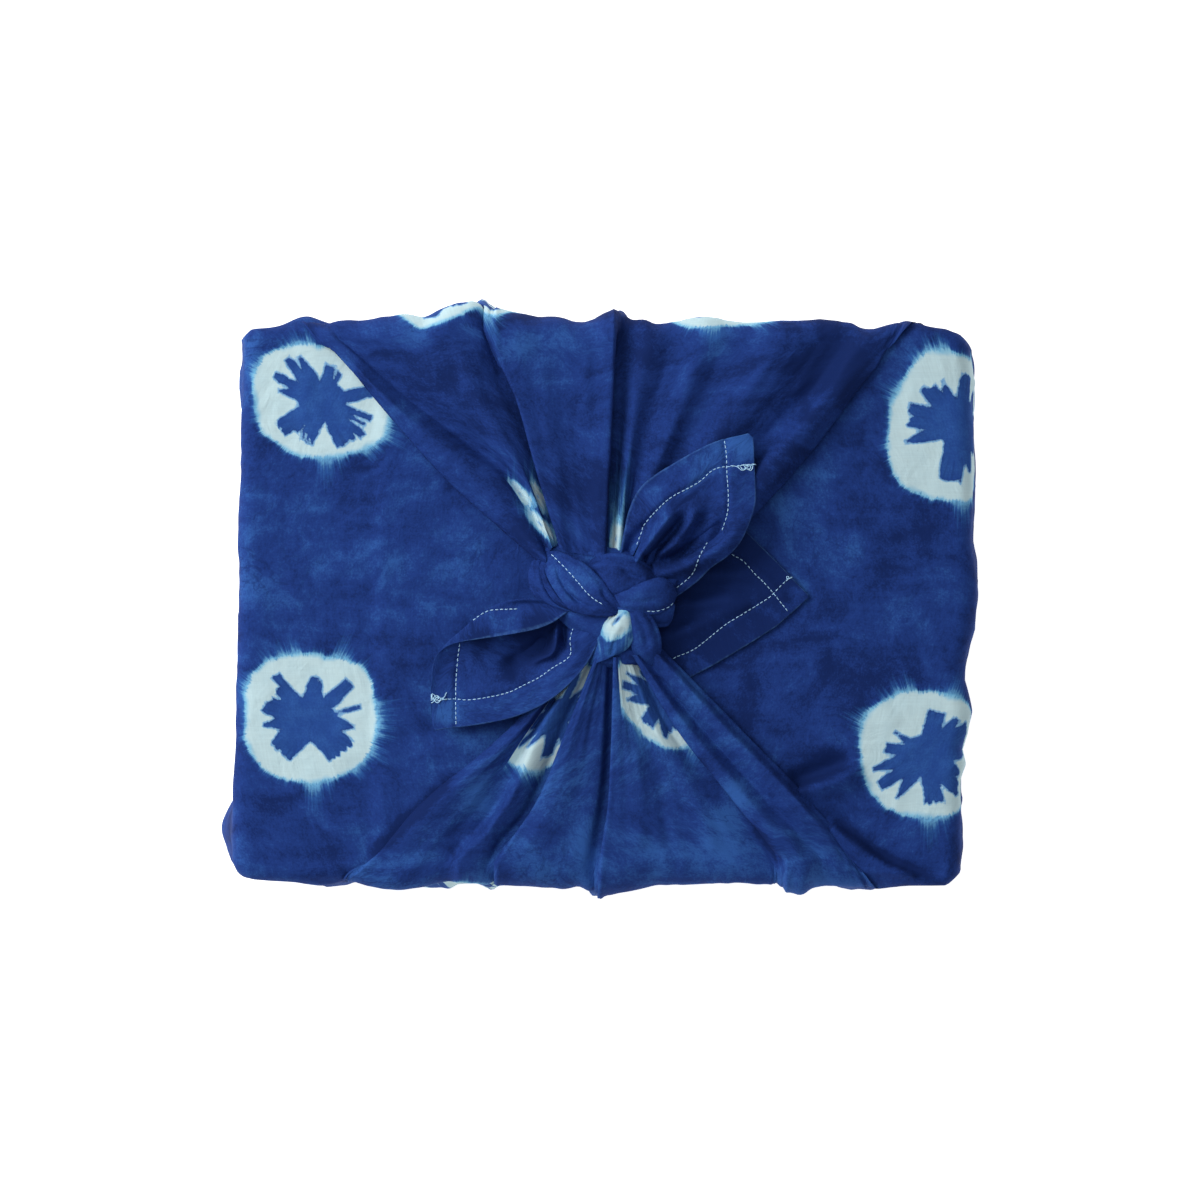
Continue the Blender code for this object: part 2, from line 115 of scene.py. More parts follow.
class Noise:
    """Smooth seeded noise in three dimensions, about -1 to 1."""

    def __init__(self, seed):
        self.table = np.random.RandomState(seed).uniform(-1.0, 1.0, (32, 32, 32))

    def __call__(self, x, y, z=0.0):
        x, y, z = np.broadcast_arrays(np.asarray(x, float), np.asarray(y, float), np.asarray(z, float))
        out = 0.0
        cells = [np.floor(v).astype(int) for v in (x, y, z)]
        part = [v - c for v, c in zip((x, y, z), cells)]
        fade = [p * p * p * (p * (p * 6 - 15) + 10) for p in part]
        for i in (0, 1):
            for j in (0, 1):
                for k in (0, 1):
                    w = (fade[0] if i else 1 - fade[0]) * (fade[1] if j else 1 - fade[1]) * (fade[2] if k else 1 - fade[2])
                    out = out + w * self.table[(cells[0] + i) % 32, (cells[1] + j) % 32, (cells[2] + k) % 32]
        return out

    def layers(self, x, y, z=0.0, count=3):
        total, size = 0.0, 1.0
        for k in range(count):
            total = total + size * self(x * 2.03**k + 7.7 * k, y * 2.03**k - 3.1 * k, np.asarray(z) * 2.03**k)
            size *= 0.5
        return total


def line_distance(xy, line):
    """Signed distance to a polyline, and how far along it (0 to 1)."""
    line = np.asarray(line, float)
    run = run_length(line)
    best = np.full(xy.shape[:-1], 1e9)
    signed, along = np.zeros_like(best), np.zeros_like(best)
    for a, b, ra, rb in zip(line, line[1:], run, run[1:]):
        d = b - a
        t = np.clip(((xy - a) @ d) / (d @ d), 0.0, 1.0)
        off = xy - (a + t[..., None] * d)
        dist = np.hypot(off[..., 0], off[..., 1])
        side = np.sign(d[0] * (xy[..., 1] - a[1]) - d[1] * (xy[..., 0] - a[0]))
        near = dist < best
        best = np.where(near, dist, best)
        signed = np.where(near, side * dist, signed)
        along = np.where(near, (ra + t * (rb - ra)) / run[-1], along)
    return signed, along


def relief(xy, table):
    """Height of soft ridges and creases.  A row: height, width on the left of
    the line, width on its right, fade at the start, fade at the end, plan points."""
    total = np.zeros(xy.shape[:-1])
    for height, left, right, fade_in, fade_out, points in table:
        line = plan(points)
        steps = np.linspace(0, len(line) - 1, 5 * (len(line) - 1) + 1)
        line = spline(np.arange(len(line)), line, steps) if len(line) > 2 else line
        reach = 3.2 * max(left, right)
        low, high = line.min(axis=0) - reach, line.max(axis=0) + reach
        near = ((xy > low) & (xy < high)).all(axis=-1)
        if not near.any():
            continue
        signed, along = line_distance(xy[near], line)
        width = np.where(signed > 0, left, right)
        taper = np.ones_like(along)
        if fade_in:
            taper = taper * smooth(0.0, fade_in, along)
        if fade_out:
            taper = taper * smooth(1.0, 1.0 - fade_out, along)
        total[near] += height * taper * np.exp(-((signed / width) ** 2))
    return total


def grid_normals(grid):
    du = np.gradient(grid, axis=0)
    dv = np.gradient(grid, axis=1)
    n = np.cross(du, dv)
    length = np.linalg.norm(n, axis=-1, keepdims=True)
    return n / np.maximum(length, 1e-9)


# --------------------------------------------------------------- dye pattern
# Stitch-resist motifs: a pale rounded ring with a ragged blue star in it.
# An arm: direction, reach, half width at the root and at the end, bend,
# fingers, depth of the notches between them.
STARS = {
    "fan": dict(outline=(27.8, 26.6, 2.7, ((137, 1.6), (45, 0.8), (-45, -1.6), (225, -1.2), (100, 1.0))), middle=(11.5, 7.5, 0.0, 0.2), arms=(
        (150, 20.0, 4.6, 8.2, 0.0, 4, 4.8), (129, 24.0, 2.2, 1.6, 0.0, 1, 0), (164, 21.5, 2.4, 2.1, 0.6, 2, 2.5),
        (82, 19.8, 6.6, 1.7, 0.0, 3, 4.6), (43, 23.4, 3.0, 3.0, 0.0, 1, 0), (11, 21.8, 0.5, 0.3, 1.2, 1, 0),
        (-8, 19.6, 4.6, 0.2, -0.8, 1, 0), (-46, 20.8, 5.4, 6.8, 0.0, 7, 1.3), (228, 20.2, 6.6, 5.8, 0.0, 4, 4.4),
        (187, 20.2, 4.6, 0.2, 0.6, 1, 0))),
    "wheel": dict(outline=(28.6, 23.6, 2.5, ((146, 2.0), (97, -1.4), (225, -1.2), (-40, 0.6))), middle=(10.5, 8.6, 0.0, 0.0), arms=(
        (131, 23.4, 4.8, 1.4, 0.0, 1, 0), (152, 23.6, 3.2, 1.5, 0.0, 1, 0), (166, 19.8, 3.2, 0.3, 0.4, 1, 0),
        (115, 21.0, 3.6, 0.2, 1.6, 1, 0), (77, 15.4, 4.4, 2.0, 0.0, 1, 0), (58, 14.4, 2.0, 1.1, 0.0, 1, 0),
        (9, 23.5, 3.4, 2.4, 1.8, 1, 0), (-17, 22.3, 3.0, 1.1, -0.8, 1, 0), (-28, 21.2, 2.4, 0.2, 0.0, 1, 0),
        (-40, 24.0, 2.6, 1.2, 0.0, 2, 3.0), (-53, 22.6, 3.4, 2.6, 0.0, 2, 4.0), (-67, 21.2, 3.2, 2.0, 0.0, 1, 0),
        (250, 20.0, 5.2, 2.8, 0.0, 3, 6.0), (214, 22.4, 3.8, 3.7, 0.0, 6, 1.4), (229, 17.8, 2.6, 1.0, 0.0, 2, 2.0))),
    "hand": dict(outline=(30.2, 30.4, 2.8, ((140, -3.2), (222, 1.2), (270, 1.4), (90, -1.0))), middle=(11.5, 10.2, 0.0, 1.4), arms=(
        (136, 22.6, 4.4, 1.4, 0.0, 1, 0), (127, 21.6, 4.0, 1.8, 0.0, 2, 2.6), (112, 20.2, 3.6, 0.4, 0.0, 1, 0),
        (79, 23.2, 4.0, 3.4, 0.0, 2, 1.4), (169, 23.2, 4.8, 5.2, 0.0, 2, 3.6), (200, 24.6, 3.8, 0.3, -1.0, 1, 0),
        (261, 25.0, 5.0, 5.2, 0.0, 6, 1.6), (-73, 21.4, 3.6, 0.5, 0.0, 1, 0), (-40, 22.0, 5.0, 3.0, 0.0, 2, 3.0),
        (0, 23.0, 5.0, 4.4, 0.0, 3, 2.6), (38, 22.0, 4.0, 3.2, 0.0, 2, 2.2))),
    "leaf": dict(outline=(27.4, 26.6, 2.5, ((150, 1.4), (225, -1.4), (90, 0.4))), middle=(11.0, 8.2, 0.5, 0.2), arms=(
        (76, 20.0, 3.8, 3.9, 0.0, 2, 2.2), (49, 20.6, 4.4, 1.4, 0.0, 1, 0), (28, 24.0, 5.2, 4.0, 0.0, 2, 3.0),
        (8, 24.0, 5.0, 3.4, 0.0, 1, 0), (144, 16.4, 2.2, 0.3, 0.0, 1, 0), (170, 18.6, 4.4, 1.9, 0.0, 2, 2.2),
        (196, 23.2, 4.0, 0.4, 0.0, 1, 0), (215, 23.8, 4.0, 2.2, 0.0, 1, 0), (237, 22.4, 3.8, 0.3, 0.0, 1, 0),
        (-79, 21.6, 3.4, 4.2, 0.0, 2, 2.0), (-49, 23.2, 4.6, 0.8, 0.0, 1, 0), (-40, 20.4, 4.8, 1.2, 0.0, 1, 0),
        (-27, 18.5, 4.4, 0.8, 0.0, 1, 0))),
    "plain": dict(outline=(27.0, 27.0, 2.1, ((60, 2.0), (200, -2.0))), middle=(0.02, 0.02, 0.0, 0.0), arms=()),
    "blot": dict(outline=(27.0, 27.0, 2.2, ((45, 2.5), (230, -2.0))), middle=(7.0, 2.6, 9.0, 6.0), arms=()),
}
wobble, fine = Noise(11), Noise(8)


def outline_depth(p, chart, seed):
    """Depth inside a motif's outer edge, negative outside."""
    a, b, power, bumps = chart["outline"]
    r = np.hypot(p[..., 0], p[..., 1])
    c, s = p[..., 0] / np.maximum(r, 1e-6), p[..., 1] / np.maximum(r, 1e-6)
    edge = ((np.abs(c) / a) ** power + (np.abs(s) / b) ** power) ** (-1.0 / power)
    for angle, grow in bumps:
        t = math.radians(angle)
        edge = edge + grow * np.maximum(0.0, c * math.cos(t) + s * math.sin(t)) ** 14
    edge = edge + 0.75 * wobble(c * 3.1, s * 3.1, seed) + 0.5 * wobble(c * 8.3, s * 8.3, seed + 3)
    return edge - r


def star_depth(p, chart, seed):
    """Depth inside the blue star, negative in the pale part."""
    a, b, cx, cy = chart["middle"]
    q = np.hypot((p[..., 0] - cx) / a, (p[..., 1] - cy) / b)
    depth = (1.0 - q) * min(a, b)
    for k, (angle, reach, root, end, bend, fingers, notch) in enumerate(chart["arms"]):
        t = math.radians(angle)
        u = p[..., 0] * math.cos(t) + p[..., 1] * math.sin(t)
        v = -p[..., 0] * math.sin(t) + p[..., 1] * math.cos(t)
        share = np.clip(u / reach, 0.0, 1.0)
        v = v - bend * share**2
        leaf = fingers == 1 and end < 1.0 and root > 1.5
        half = root + (end - root) * share ** (2.2 if leaf else 1.0)
        half = np.maximum(half, 0.75) + 0.30 * fine(u / 1.7, k * 5.1, seed) * (root > 1.0)
        inside = np.minimum(half - np.abs(v), u)
        tip = np.full_like(u, reach)
        for f in range(1, fingers):
            where = -1.0 + 2.0 * f / fingers + 0.16 * wobble(f * 3.3, k * 1.7, seed)
            deep = notch * (0.75 + 0.45 * wobble(f * 5.1, k * 2.9, seed + 1))
            wedge = np.maximum(0.0, u - (reach - deep)) * 0.30 * (2.0 * half / fingers) / max(deep, 0.5)
            inside = np.minimum(inside, np.where(u > reach - deep, np.abs(v - where * half) - wedge, 9.0))
        if fingers > 1:
            which = np.floor((v / np.maximum(half, 0.2) + 1.0) * 0.5 * fingers)
            tip = reach - 0.35 * notch * (0.5 + 0.5 * wobble(which * 4.7 + 0.5, k * 3.1 + 0.5, seed + 2))
        tip = tip - (1.9 if fingers > 1 else 0.8) * np.abs(fine(v / 1.05, k * 3.3, seed + 9.0)) * (root > 1.0)
        depth = np.maximum(depth, np.minimum(inside, tip - u))
    depth = np.where(depth > -4.0, depth + 0.22 * fine(p[..., 0] / 2.4, p[..., 1] / 2.4, seed) + 0.35 * fine(p[..., 0] / 5.5, p[..., 1] / 5.5, seed + 5.0), depth)
    return depth


class Dye:
    """Gathers the motifs on one piece of cloth."""

    def __init__(self, coords):
        self.coords = coords
        shape = coords.shape[:2]
        self.ring, self.star = np.full(shape, -20.0), np.full(shape, -20.0)
        self.owner = np.full(shape, -1)
        self.places = []

    def _add(self, local, ring, star, mask):
        better = (ring > self.ring) & (ring > -19.5)
        if mask is not None:
            better &= mask
        self.ring = np.where(better, ring, self.ring)
        self.star = np.where(better, star, self.star)
        self.owner = np.where(better, len(self.places), self.owner)
        self.places.append(local)

    def motif(self, centre, kind, turn=0.0, scale=(1.0, 1.0), mask=None):
        t = math.radians(turn)
        p = self.coords - np.asarray(centre, float)
        local = np.stack([(p[..., 0] * math.cos(t) + p[..., 1] * math.sin(t)) / scale[0],
                          (-p[..., 0] * math.sin(t) + p[..., 1] * math.cos(t)) / scale[1]], axis=-1)
        seed = 1.37 * (len(self.places) + 1) + centre[0] * 0.013
        chart = STARS[kind]
        # gathered cloth squeezes a motif; its edge stays as ragged as on flat cloth
        squeeze = min(1.0, 1.25 * min(scale))
        place = local if squeeze == 1.0 else self.coords - np.asarray(centre, float) + np.array([0.0, 55.0])
        self._add(place, np.maximum(outline_depth(local, chart, seed) * squeeze, -20.0), star_depth(local, chart, seed) * squeeze, mask)


# ------------------------------------------------------------------ materials
def lin(r, g, b):
    out = []
    for v in (r, g, b):
        v /= 255.0
        out.append(v / 12.92 if v <= 0.04045 else ((v + 0.055) / 1.055) ** 2.4)
    return tuple(out) + (1.0,)


class Nodes:
    """Short-hand for building a node tree."""

    def __init__(self, name):
        self.material = bpy.data.materials.new(name)
        self.material.use_nodes = True
        self.tree = self.material.node_tree
        self.tree.nodes.clear()

    def add(self, kind, inputs=None, **settings):
        node = self.tree.nodes.new(kind)
        for key, value in settings.items():
            setattr(node, key, value)
        for key, value in (inputs or {}).items():
            socket = node.inputs[key]
            if isinstance(value, bpy.types.NodeSocket):
                self.tree.links.new(value, socket)
            else:
                socket.default_value = value
        return node

    def math(self, op, a, b=0.0, c=0.0, clamp=False):
        node = self.add("ShaderNodeMath", {0: a, 1: b, 2: c}, operation=op)
        node.use_clamp = clamp
        return node.outputs[0]

    def ramp(self, value, low, high, out_low=0.0, out_high=1.0, curve="SMOOTHSTEP"):
        node = self.add("ShaderNodeMapRange", {"Value": value, "From Min": low, "From Max": high, "To Min": out_low,
                                               "To Max": out_high}, interpolation_type=curve)
        return node.outputs[0]

    def mix(self, factor, a, b, blend="MIX"):
        node = self.add("ShaderNodeMix", data_type="RGBA", blend_type=blend)
        for socket, value in ((node.inputs[0], factor), (node.inputs[6], a), (node.inputs[7], b)):
            if isinstance(value, bpy.types.NodeSocket):
                self.tree.links.new(value, socket)
            else:
                socket.default_value = value
        return node.outputs[2]

    def noise(self, vector, scale, detail=2.0, rough=0.5, distortion=0.0):
        return self.add("ShaderNodeTexNoise", {"Vector": vector, "Scale": scale, "Detail": detail, "Roughness": rough,
                                               "Distortion": distortion}).outputs["Fac"]


INK_DARK, INK, INK_LIGHT = lin(17, 38, 92), lin(29, 56, 124), lin(46, 88, 158)
STAR_INK, STAR_EDGE = lin(38, 75, 146), lin(18, 34, 84)
HALO_NEAR, HALO_FAR, FRINGE = lin(118, 184, 220), lin(52, 108, 176), lin(88, 150, 204)
PALE, PALE_SHADE, SOAK = lin(195, 218, 222), lin(178, 206, 215), lin(134, 188, 216)


def cloth_material():
    n = Nodes("indigo_cotton")
    flat = n.add("ShaderNodeUVMap", uv_map="flat").outputs[0]
    local = n.add("ShaderNodeUVMap", uv_map="motif").outputs[0]
    ring = n.add("ShaderNodeAttribute", attribute_name="ring").outputs["Fac"]
    star = n.add("ShaderNodeAttribute", attribute_name="star").outputs["Fac"]
    worn = n.add("ShaderNodeAttribute", attribute_name="worn").outputs["Fac"]

    # uneven dye: broad clouds, cross streaks and a fine mottle
    cloud = n.noise(flat, 17.0, 3.0, 0.55, 0.6)
    patch = n.noise(flat, 55.0, 4.0, 0.6, 0.8)
    streak_in = n.add("ShaderNodeMapping", {"Vector": flat, "Rotation": (0.0, 0.0, 0.9), "Scale": (130.0, 28.0, 1.0)}).outputs[0]
    streak = n.noise(streak_in, 1.0, 3.0, 0.6)
    mottle = n.noise(flat, 420.0, 3.0, 0.65)
    tone = n.math("MULTIPLY_ADD", cloud, 0.85, 0.0)
    tone = n.math("MULTIPLY_ADD", patch, 1.05, n.math("ADD", tone, -0.10))
    tone = n.math("MULTIPLY_ADD", streak, 0.42, tone)
    tone = n.math("MULTIPLY_ADD", mottle, 0.42, n.math("ADD", tone, -0.08))
    grain = n.noise(flat, 1150.0, 2.0, 0.7)
    tone = n.math("MULTIPLY_ADD", grain, 0.55, n.math("ADD", tone, -0.275))
    # per-vertex tone: the piece's tone shift and lighter dye patches, with painted shade along fold edges, in pockets
    # and beside the knot
    tone = n.math("ADD", tone, n.add("ShaderNodeAttribute", attribute_name="tone_and_painted_shade").outputs["Fac"])
    deep = n.mix(n.ramp(tone, 0.82, 1.17), INK_DARK, INK)
    ink = n.mix(n.ramp(tone, 1.12, 1.58), deep, INK_LIGHT)
    fold_mark = n.math("ABSOLUTE", n.math("ADD", n.noise(flat, 38.0, 4.0, 0.6, 1.3), -0.5))
    fold_mark = n.math("MULTIPLY", n.ramp(fold_mark, 0.022, 0.0), n.ramp(n.noise(flat, 13.0, 1.0, 0.5), 0.46, 0.62))
    ink = n.mix(n.math("MULTIPLY", fold_mark, 0.45), ink, INK_DARK)

    # pale ring with feathered rays, and the ragged star inside it
    spread = n.add("ShaderNodeVectorMath", {0: local}, operation="LENGTH").outputs["Value"]
    heading = n.add("ShaderNodeVectorMath", {0: local}, operation="NORMALIZE").outputs[0]
    swirl = n.add("ShaderNodeVectorMath", {0: heading, 1: (1.0, 1.0, 1.0)}, operation="MULTIPLY").outputs[0]
    ray_at = n.add("ShaderNodeCombineXYZ", {"Z": n.math("MULTIPLY", spread, 18.0)}).outputs[0]
    ray_in = n.add("ShaderNodeVectorMath", {0: swirl, 1: (15.0, 15.0, 0.0), 2: ray_at}, operation="MULTIPLY_ADD").outputs[0]
    ray = n.noise(ray_in, 1.0, 5.0, 0.75)
    hair_in = n.add("ShaderNodeVectorMath", {0: swirl, 1: (34.0, 34.0, 0.0), 2: ray_at}, operation="MULTIPLY_ADD").outputs[0]
    hair = n.noise(hair_in, 1.0, 3.0, 0.7)
    broad_in = n.add("ShaderNodeVectorMath", {0: swirl, 1: (3.2, 3.2, 0.0), 2: ray_at}, operation="MULTIPLY_ADD").outputs[0]
    broad = n.noise(broad_in, 1.0, 2.0, 0.5)
    ragged = n.math("MULTIPLY_ADD", ray, 4.2, ring)
    ragged = n.math("MULTIPLY_ADD", n.noise(flat, 480.0, 3.0, 0.7), 1.8, n.math("MULTIPLY_ADD", hair, 4.4, n.math("ADD", ragged, -5.3)))
    ring_mask = n.ramp(ragged, -0.55, 0.5)
    reach = n.math("MULTIPLY_ADD", n.ramp(broad, 0.44, 0.72), 7.0, 1.8)
    reach = n.math("MULTIPLY", reach, n.ramp(ray, 0.34, 0.68, 0.4, 1.25))
    reach = n.math("MULTIPLY", reach, n.ramp(hair, 0.32, 0.68, 0.55, 1.3))
    halo = n.math("DIVIDE", n.math("ADD", ring, 0.2), reach)
    halo_far = n.ramp(halo, -1.6, 0.0)
    halo_near = n.ramp(halo, -0.62, 0.05)
    halo_grain = n.ramp(n.noise(flat, 620.0, 2.0, 0.7), 0.32, 0.62, 0.55, 1.0)
    colour = n.mix(n.math("MULTIPLY", n.math("MULTIPLY", halo_far, 0.62), halo_grain), ink, HALO_FAR)
    colour = n.mix(n.math("MULTIPLY", n.math("MULTIPLY", halo_near, 0.85), halo_grain), colour, HALO_NEAR)
    pale = n.mix(n.noise(flat, 90.0, 3.0, 0.6), PALE_SHADE, PALE)
    soak = n.math("MULTIPLY_ADD", n.noise(flat, 75.0, 3.0, 0.6), 7.0, n.math("ADD", ring, -3.3))
    pale = n.mix(n.ramp(soak, -0.6, 2.2), SOAK, pale)
    colour = n.mix(ring_mask, colour, pale)
    torn = n.math("MULTIPLY_ADD", n.noise(flat, 700.0, 3.0, 0.7), 1.3, n.math("ADD", star, -0.65))
    fringe = n.math("MULTIPLY", n.ramp(n.math("ABSOLUTE", torn), 0.85, 0.1), n.ramp(ring, -0.5, 0.5, 0.0, 0.8))
    colour = n.mix(fringe, colour, FRINGE)
    star_mask = n.math("MULTIPLY", n.ramp(torn, -0.12, 0.42), n.ramp(ring, -0.5, 0.5))
    inner_tone = n.mix(n.ramp(n.noise(flat, 140.0, 3.0, 0.6), 0.35, 0.7), STAR_INK, INK_LIGHT)
    brushed = n.math("MULTIPLY", n.ramp(ray, 0.58, 0.38), n.ramp(spread, 0.010, 0.019))
    inner_tone = n.mix(n.math("MULTIPLY", brushed, 0.34), inner_tone, INK_DARK)
    inner_tone = n.mix(n.ramp(grain, 0.36, 0.64, 0.0, 0.35), inner_tone, INK)
    edge = n.math("MULTIPLY", n.ramp(star, 1.15, 0.1), n.ramp(n.noise(flat, 120.0, 2.0, 0.5), 0.42, 0.58))
    inner = n.mix(n.math("MULTIPLY", edge, 0.30), inner_tone, STAR_EDGE)
    colour = n.mix(star_mask, colour, inner)
    scuff = n.math("MULTIPLY", worn, n.ramp(n.noise(flat, 260.0, 3.0, 0.7), 0.25, 0.75))
    colour = n.mix(n.math("MULTIPLY", scuff, 0.75), colour, lin(84, 132, 190))

    # plain weave with uneven yarns, and fine crumples
    split = n.add("ShaderNodeSeparateXYZ", {"Vector": flat}).outputs
    warp = n.math("SINE", n.math("MULTIPLY", split["X"], 2 * math.pi / 0.00052))
    weft = n.math("SINE", n.math("MULTIPLY", split["Y"], 2 * math.pi / 0.00056))
    weave = n.math("MULTIPLY", warp, weft)
    yarn_a = n.noise(n.add("ShaderNodeMapping", {"Vector": flat, "Scale": (1500.0, 55.0, 1.0)}).outputs[0], 1.0, 2.0, 0.6)
    yarn_b = n.noise(n.add("ShaderNodeMapping", {"Vector": flat, "Scale": (60.0, 1400.0, 1.0)}).outputs[0], 1.0, 2.0, 0.6)
    fuzz = n.noise(flat, 1500.0, 2.0, 0.6)
    height = n.math("MULTIPLY_ADD", weave, 0.10, n.math("MULTIPLY", yarn_a, 0.9))
    height = n.math("MULTIPLY_ADD", yarn_b, 0.8, height)
    height = n.math("MULTIPLY_ADD", fuzz, 0.35, height)
    weave_bump = n.add("ShaderNodeBump", {"Strength": 0.42, "Distance": 0.00016, "Height": height}).outputs[0]
    crease = n.noise(flat, 82.0, 3.0, 0.5, 0.7)
    crease_bump = n.add("ShaderNodeBump", {"Strength": 0.5, "Distance": 0.0018, "Height": crease, "Normal": weave_bump}).outputs[0]
    yarn_tone = n.math("MULTIPLY_ADD", n.math("ADD", yarn_a, yarn_b), 0.30, 0.70)
    shade = n.add("ShaderNodeCombineColor", {"Red": yarn_tone, "Green": yarn_tone, "Blue": yarn_tone}).outputs[0]
    colour = n.mix(0.55, colour, shade, "MULTIPLY")
    rough = n.math("MULTIPLY_ADD", mottle, 0.10, 0.82)
    shader = n.add("ShaderNodeBsdfPrincipled", {"Base Color": colour, "Roughness": rough, "Normal": crease_bump})
    shader.inputs["Specular IOR Level"].default_value = 0.10
    n.add("ShaderNodeOutputMaterial", {"Surface": shader.outputs[0]})
    return n.material


def thread_material():
    n = Nodes("white_thread")
    where = n.add("ShaderNodeTexCoord").outputs["Object"]
    dirt = n.noise(where, 900.0, 2.0, 0.6)
    colour = n.mix(dirt, lin(140, 200, 244), lin(205, 236, 255))
    twist = n.noise(where, 5200.0, 2.0, 0.6)
    bump = n.add("ShaderNodeBump", {"Strength": 0.4, "Distance": 0.0001, "Height": twist}).outputs[0]
    shader = n.add("ShaderNodeBsdfPrincipled", {"Base Color": colour, "Roughness": n.math("MULTIPLY_ADD", dirt, 0.1, 0.6), "Normal": bump})
    shader.inputs["Specular IOR Level"].default_value = 0.3
    n.add("ShaderNodeOutputMaterial", {"Surface": shader.outputs[0]})
    return n.material


CLOTH_MATERIAL = cloth_material()
THREAD_MATERIAL = thread_material()


# -------------------------------------------------------------------- meshes
def finish_mesh(name, verts, faces, material):
    mesh = bpy.data.meshes.new(name)
    mesh.vertices.add(len(verts))
    mesh.vertices.foreach_set("co", np.asarray(verts, np.float32).ravel())
    faces = np.asarray(faces, np.int32)
    mesh.loops.add(faces.size)
    mesh.loops.foreach_set("vertex_index", faces.ravel())
    mesh.polygons.add(len(faces))
    mesh.polygons.foreach_set("loop_start", np.arange(len(faces), dtype=np.int32) * faces.shape[1])
    mesh.update(calc_edges=True)
    mesh.validate()
    mesh.shade_smooth()
    mesh.materials.append(material)
    obj = bpy.data.objects.new(name, mesh)
    bpy.context.scene.collection.objects.link(obj)
    return obj


def quads(rows, cols):
    i, j = np.meshgrid(np.arange(rows - 1), np.arange(cols - 1), indexing="ij")
    a = (i * cols + j).ravel()
    return np.stack([a, a + cols, a + cols + 1, a + 1], axis=1)


# tone shift per piece: darker on the back and the right flap, lighter on the front; on the knot strands the darkening
# is painted shade
PIECE_TONE = {"knot_over": -0.14, "knot_left_inner": -0.12, "knot_left_outer": -0.10, "knot_right": -0.10, "knot_arch": -0.10, "cloth_back": -0.15, "cloth_right": -0.10, "cloth_front": 0.05, "tail_front": -0.08, "tail_back": -0.08, "cloth_left": -0.02}


# places where the dye is lighter; a negative amount darkens instead: painted shade in the lower tail's pocket, beside
# the knot and under the upper tail, and a darker patch at the back right. Plan point, radius in millimetres, amount
PALE_DYE_AND_PAINTED_SHADE = (((443, 716), 7.0, 0.42), ((744, 446), 6.0, 0.34), ((797, 592), 5.0, 0.45), ((724, 820), 9.0, 0.42), ((736, 792), 6.0, 0.3),
         ((706, 860), 9.0, 0.25), ((520, 345), 8.0, 0.30), ((560, 338), 7.0, 0.25), ((415, 336), 9.0, 0.30), ((470, 340), 8.0, 0.32),
         ((715, 335), 10.0, 0.35), ((760, 336), 7.0, 0.2), ((450, 700), 12.0, 0.12), ((255, 352), 8.0, 0.22), ((905, 345), 9.0, 0.25),
         ((905, 372), 7.0, 0.15), ((345, 545), 12.0, 0.10), ((640, 760), 8.0, 0.2), ((655, 850), 9.0, 0.22), ((480, 800), 7.0, 0.3),
         ((420, 850), 8.0, 0.22), ((538, 640), 9.0, -0.9), ((482, 641), 4.0, -0.4), ((510, 668), 6.0, -0.32), ((704, 580), 10.0, -0.20), ((664, 652), 6.0, -0.3),
         ((838, 372), 14.0, -0.28), ((240, 868), 10.0, 0.18))


# painted shade: darker bands on the cloth beside fold edges, where the raised layer shades it: amount, width in
# millimetres, plan points
PAINTED_SHADE_BANDS = (
    (-0.50, 3.4, ((366, 862), (390, 838), (422, 806), (460, 767))),
    (-0.50, 5.0, ((780, 787), (800, 777), (822, 767), (852, 752))),
    (-0.46, 2.2, ((830, 822), (850, 835), (878, 852), (906, 867), (946, 880))),
    (-0.40, 2.2, ((748, 815), (761, 836), (770, 851), (782, 872))),
)


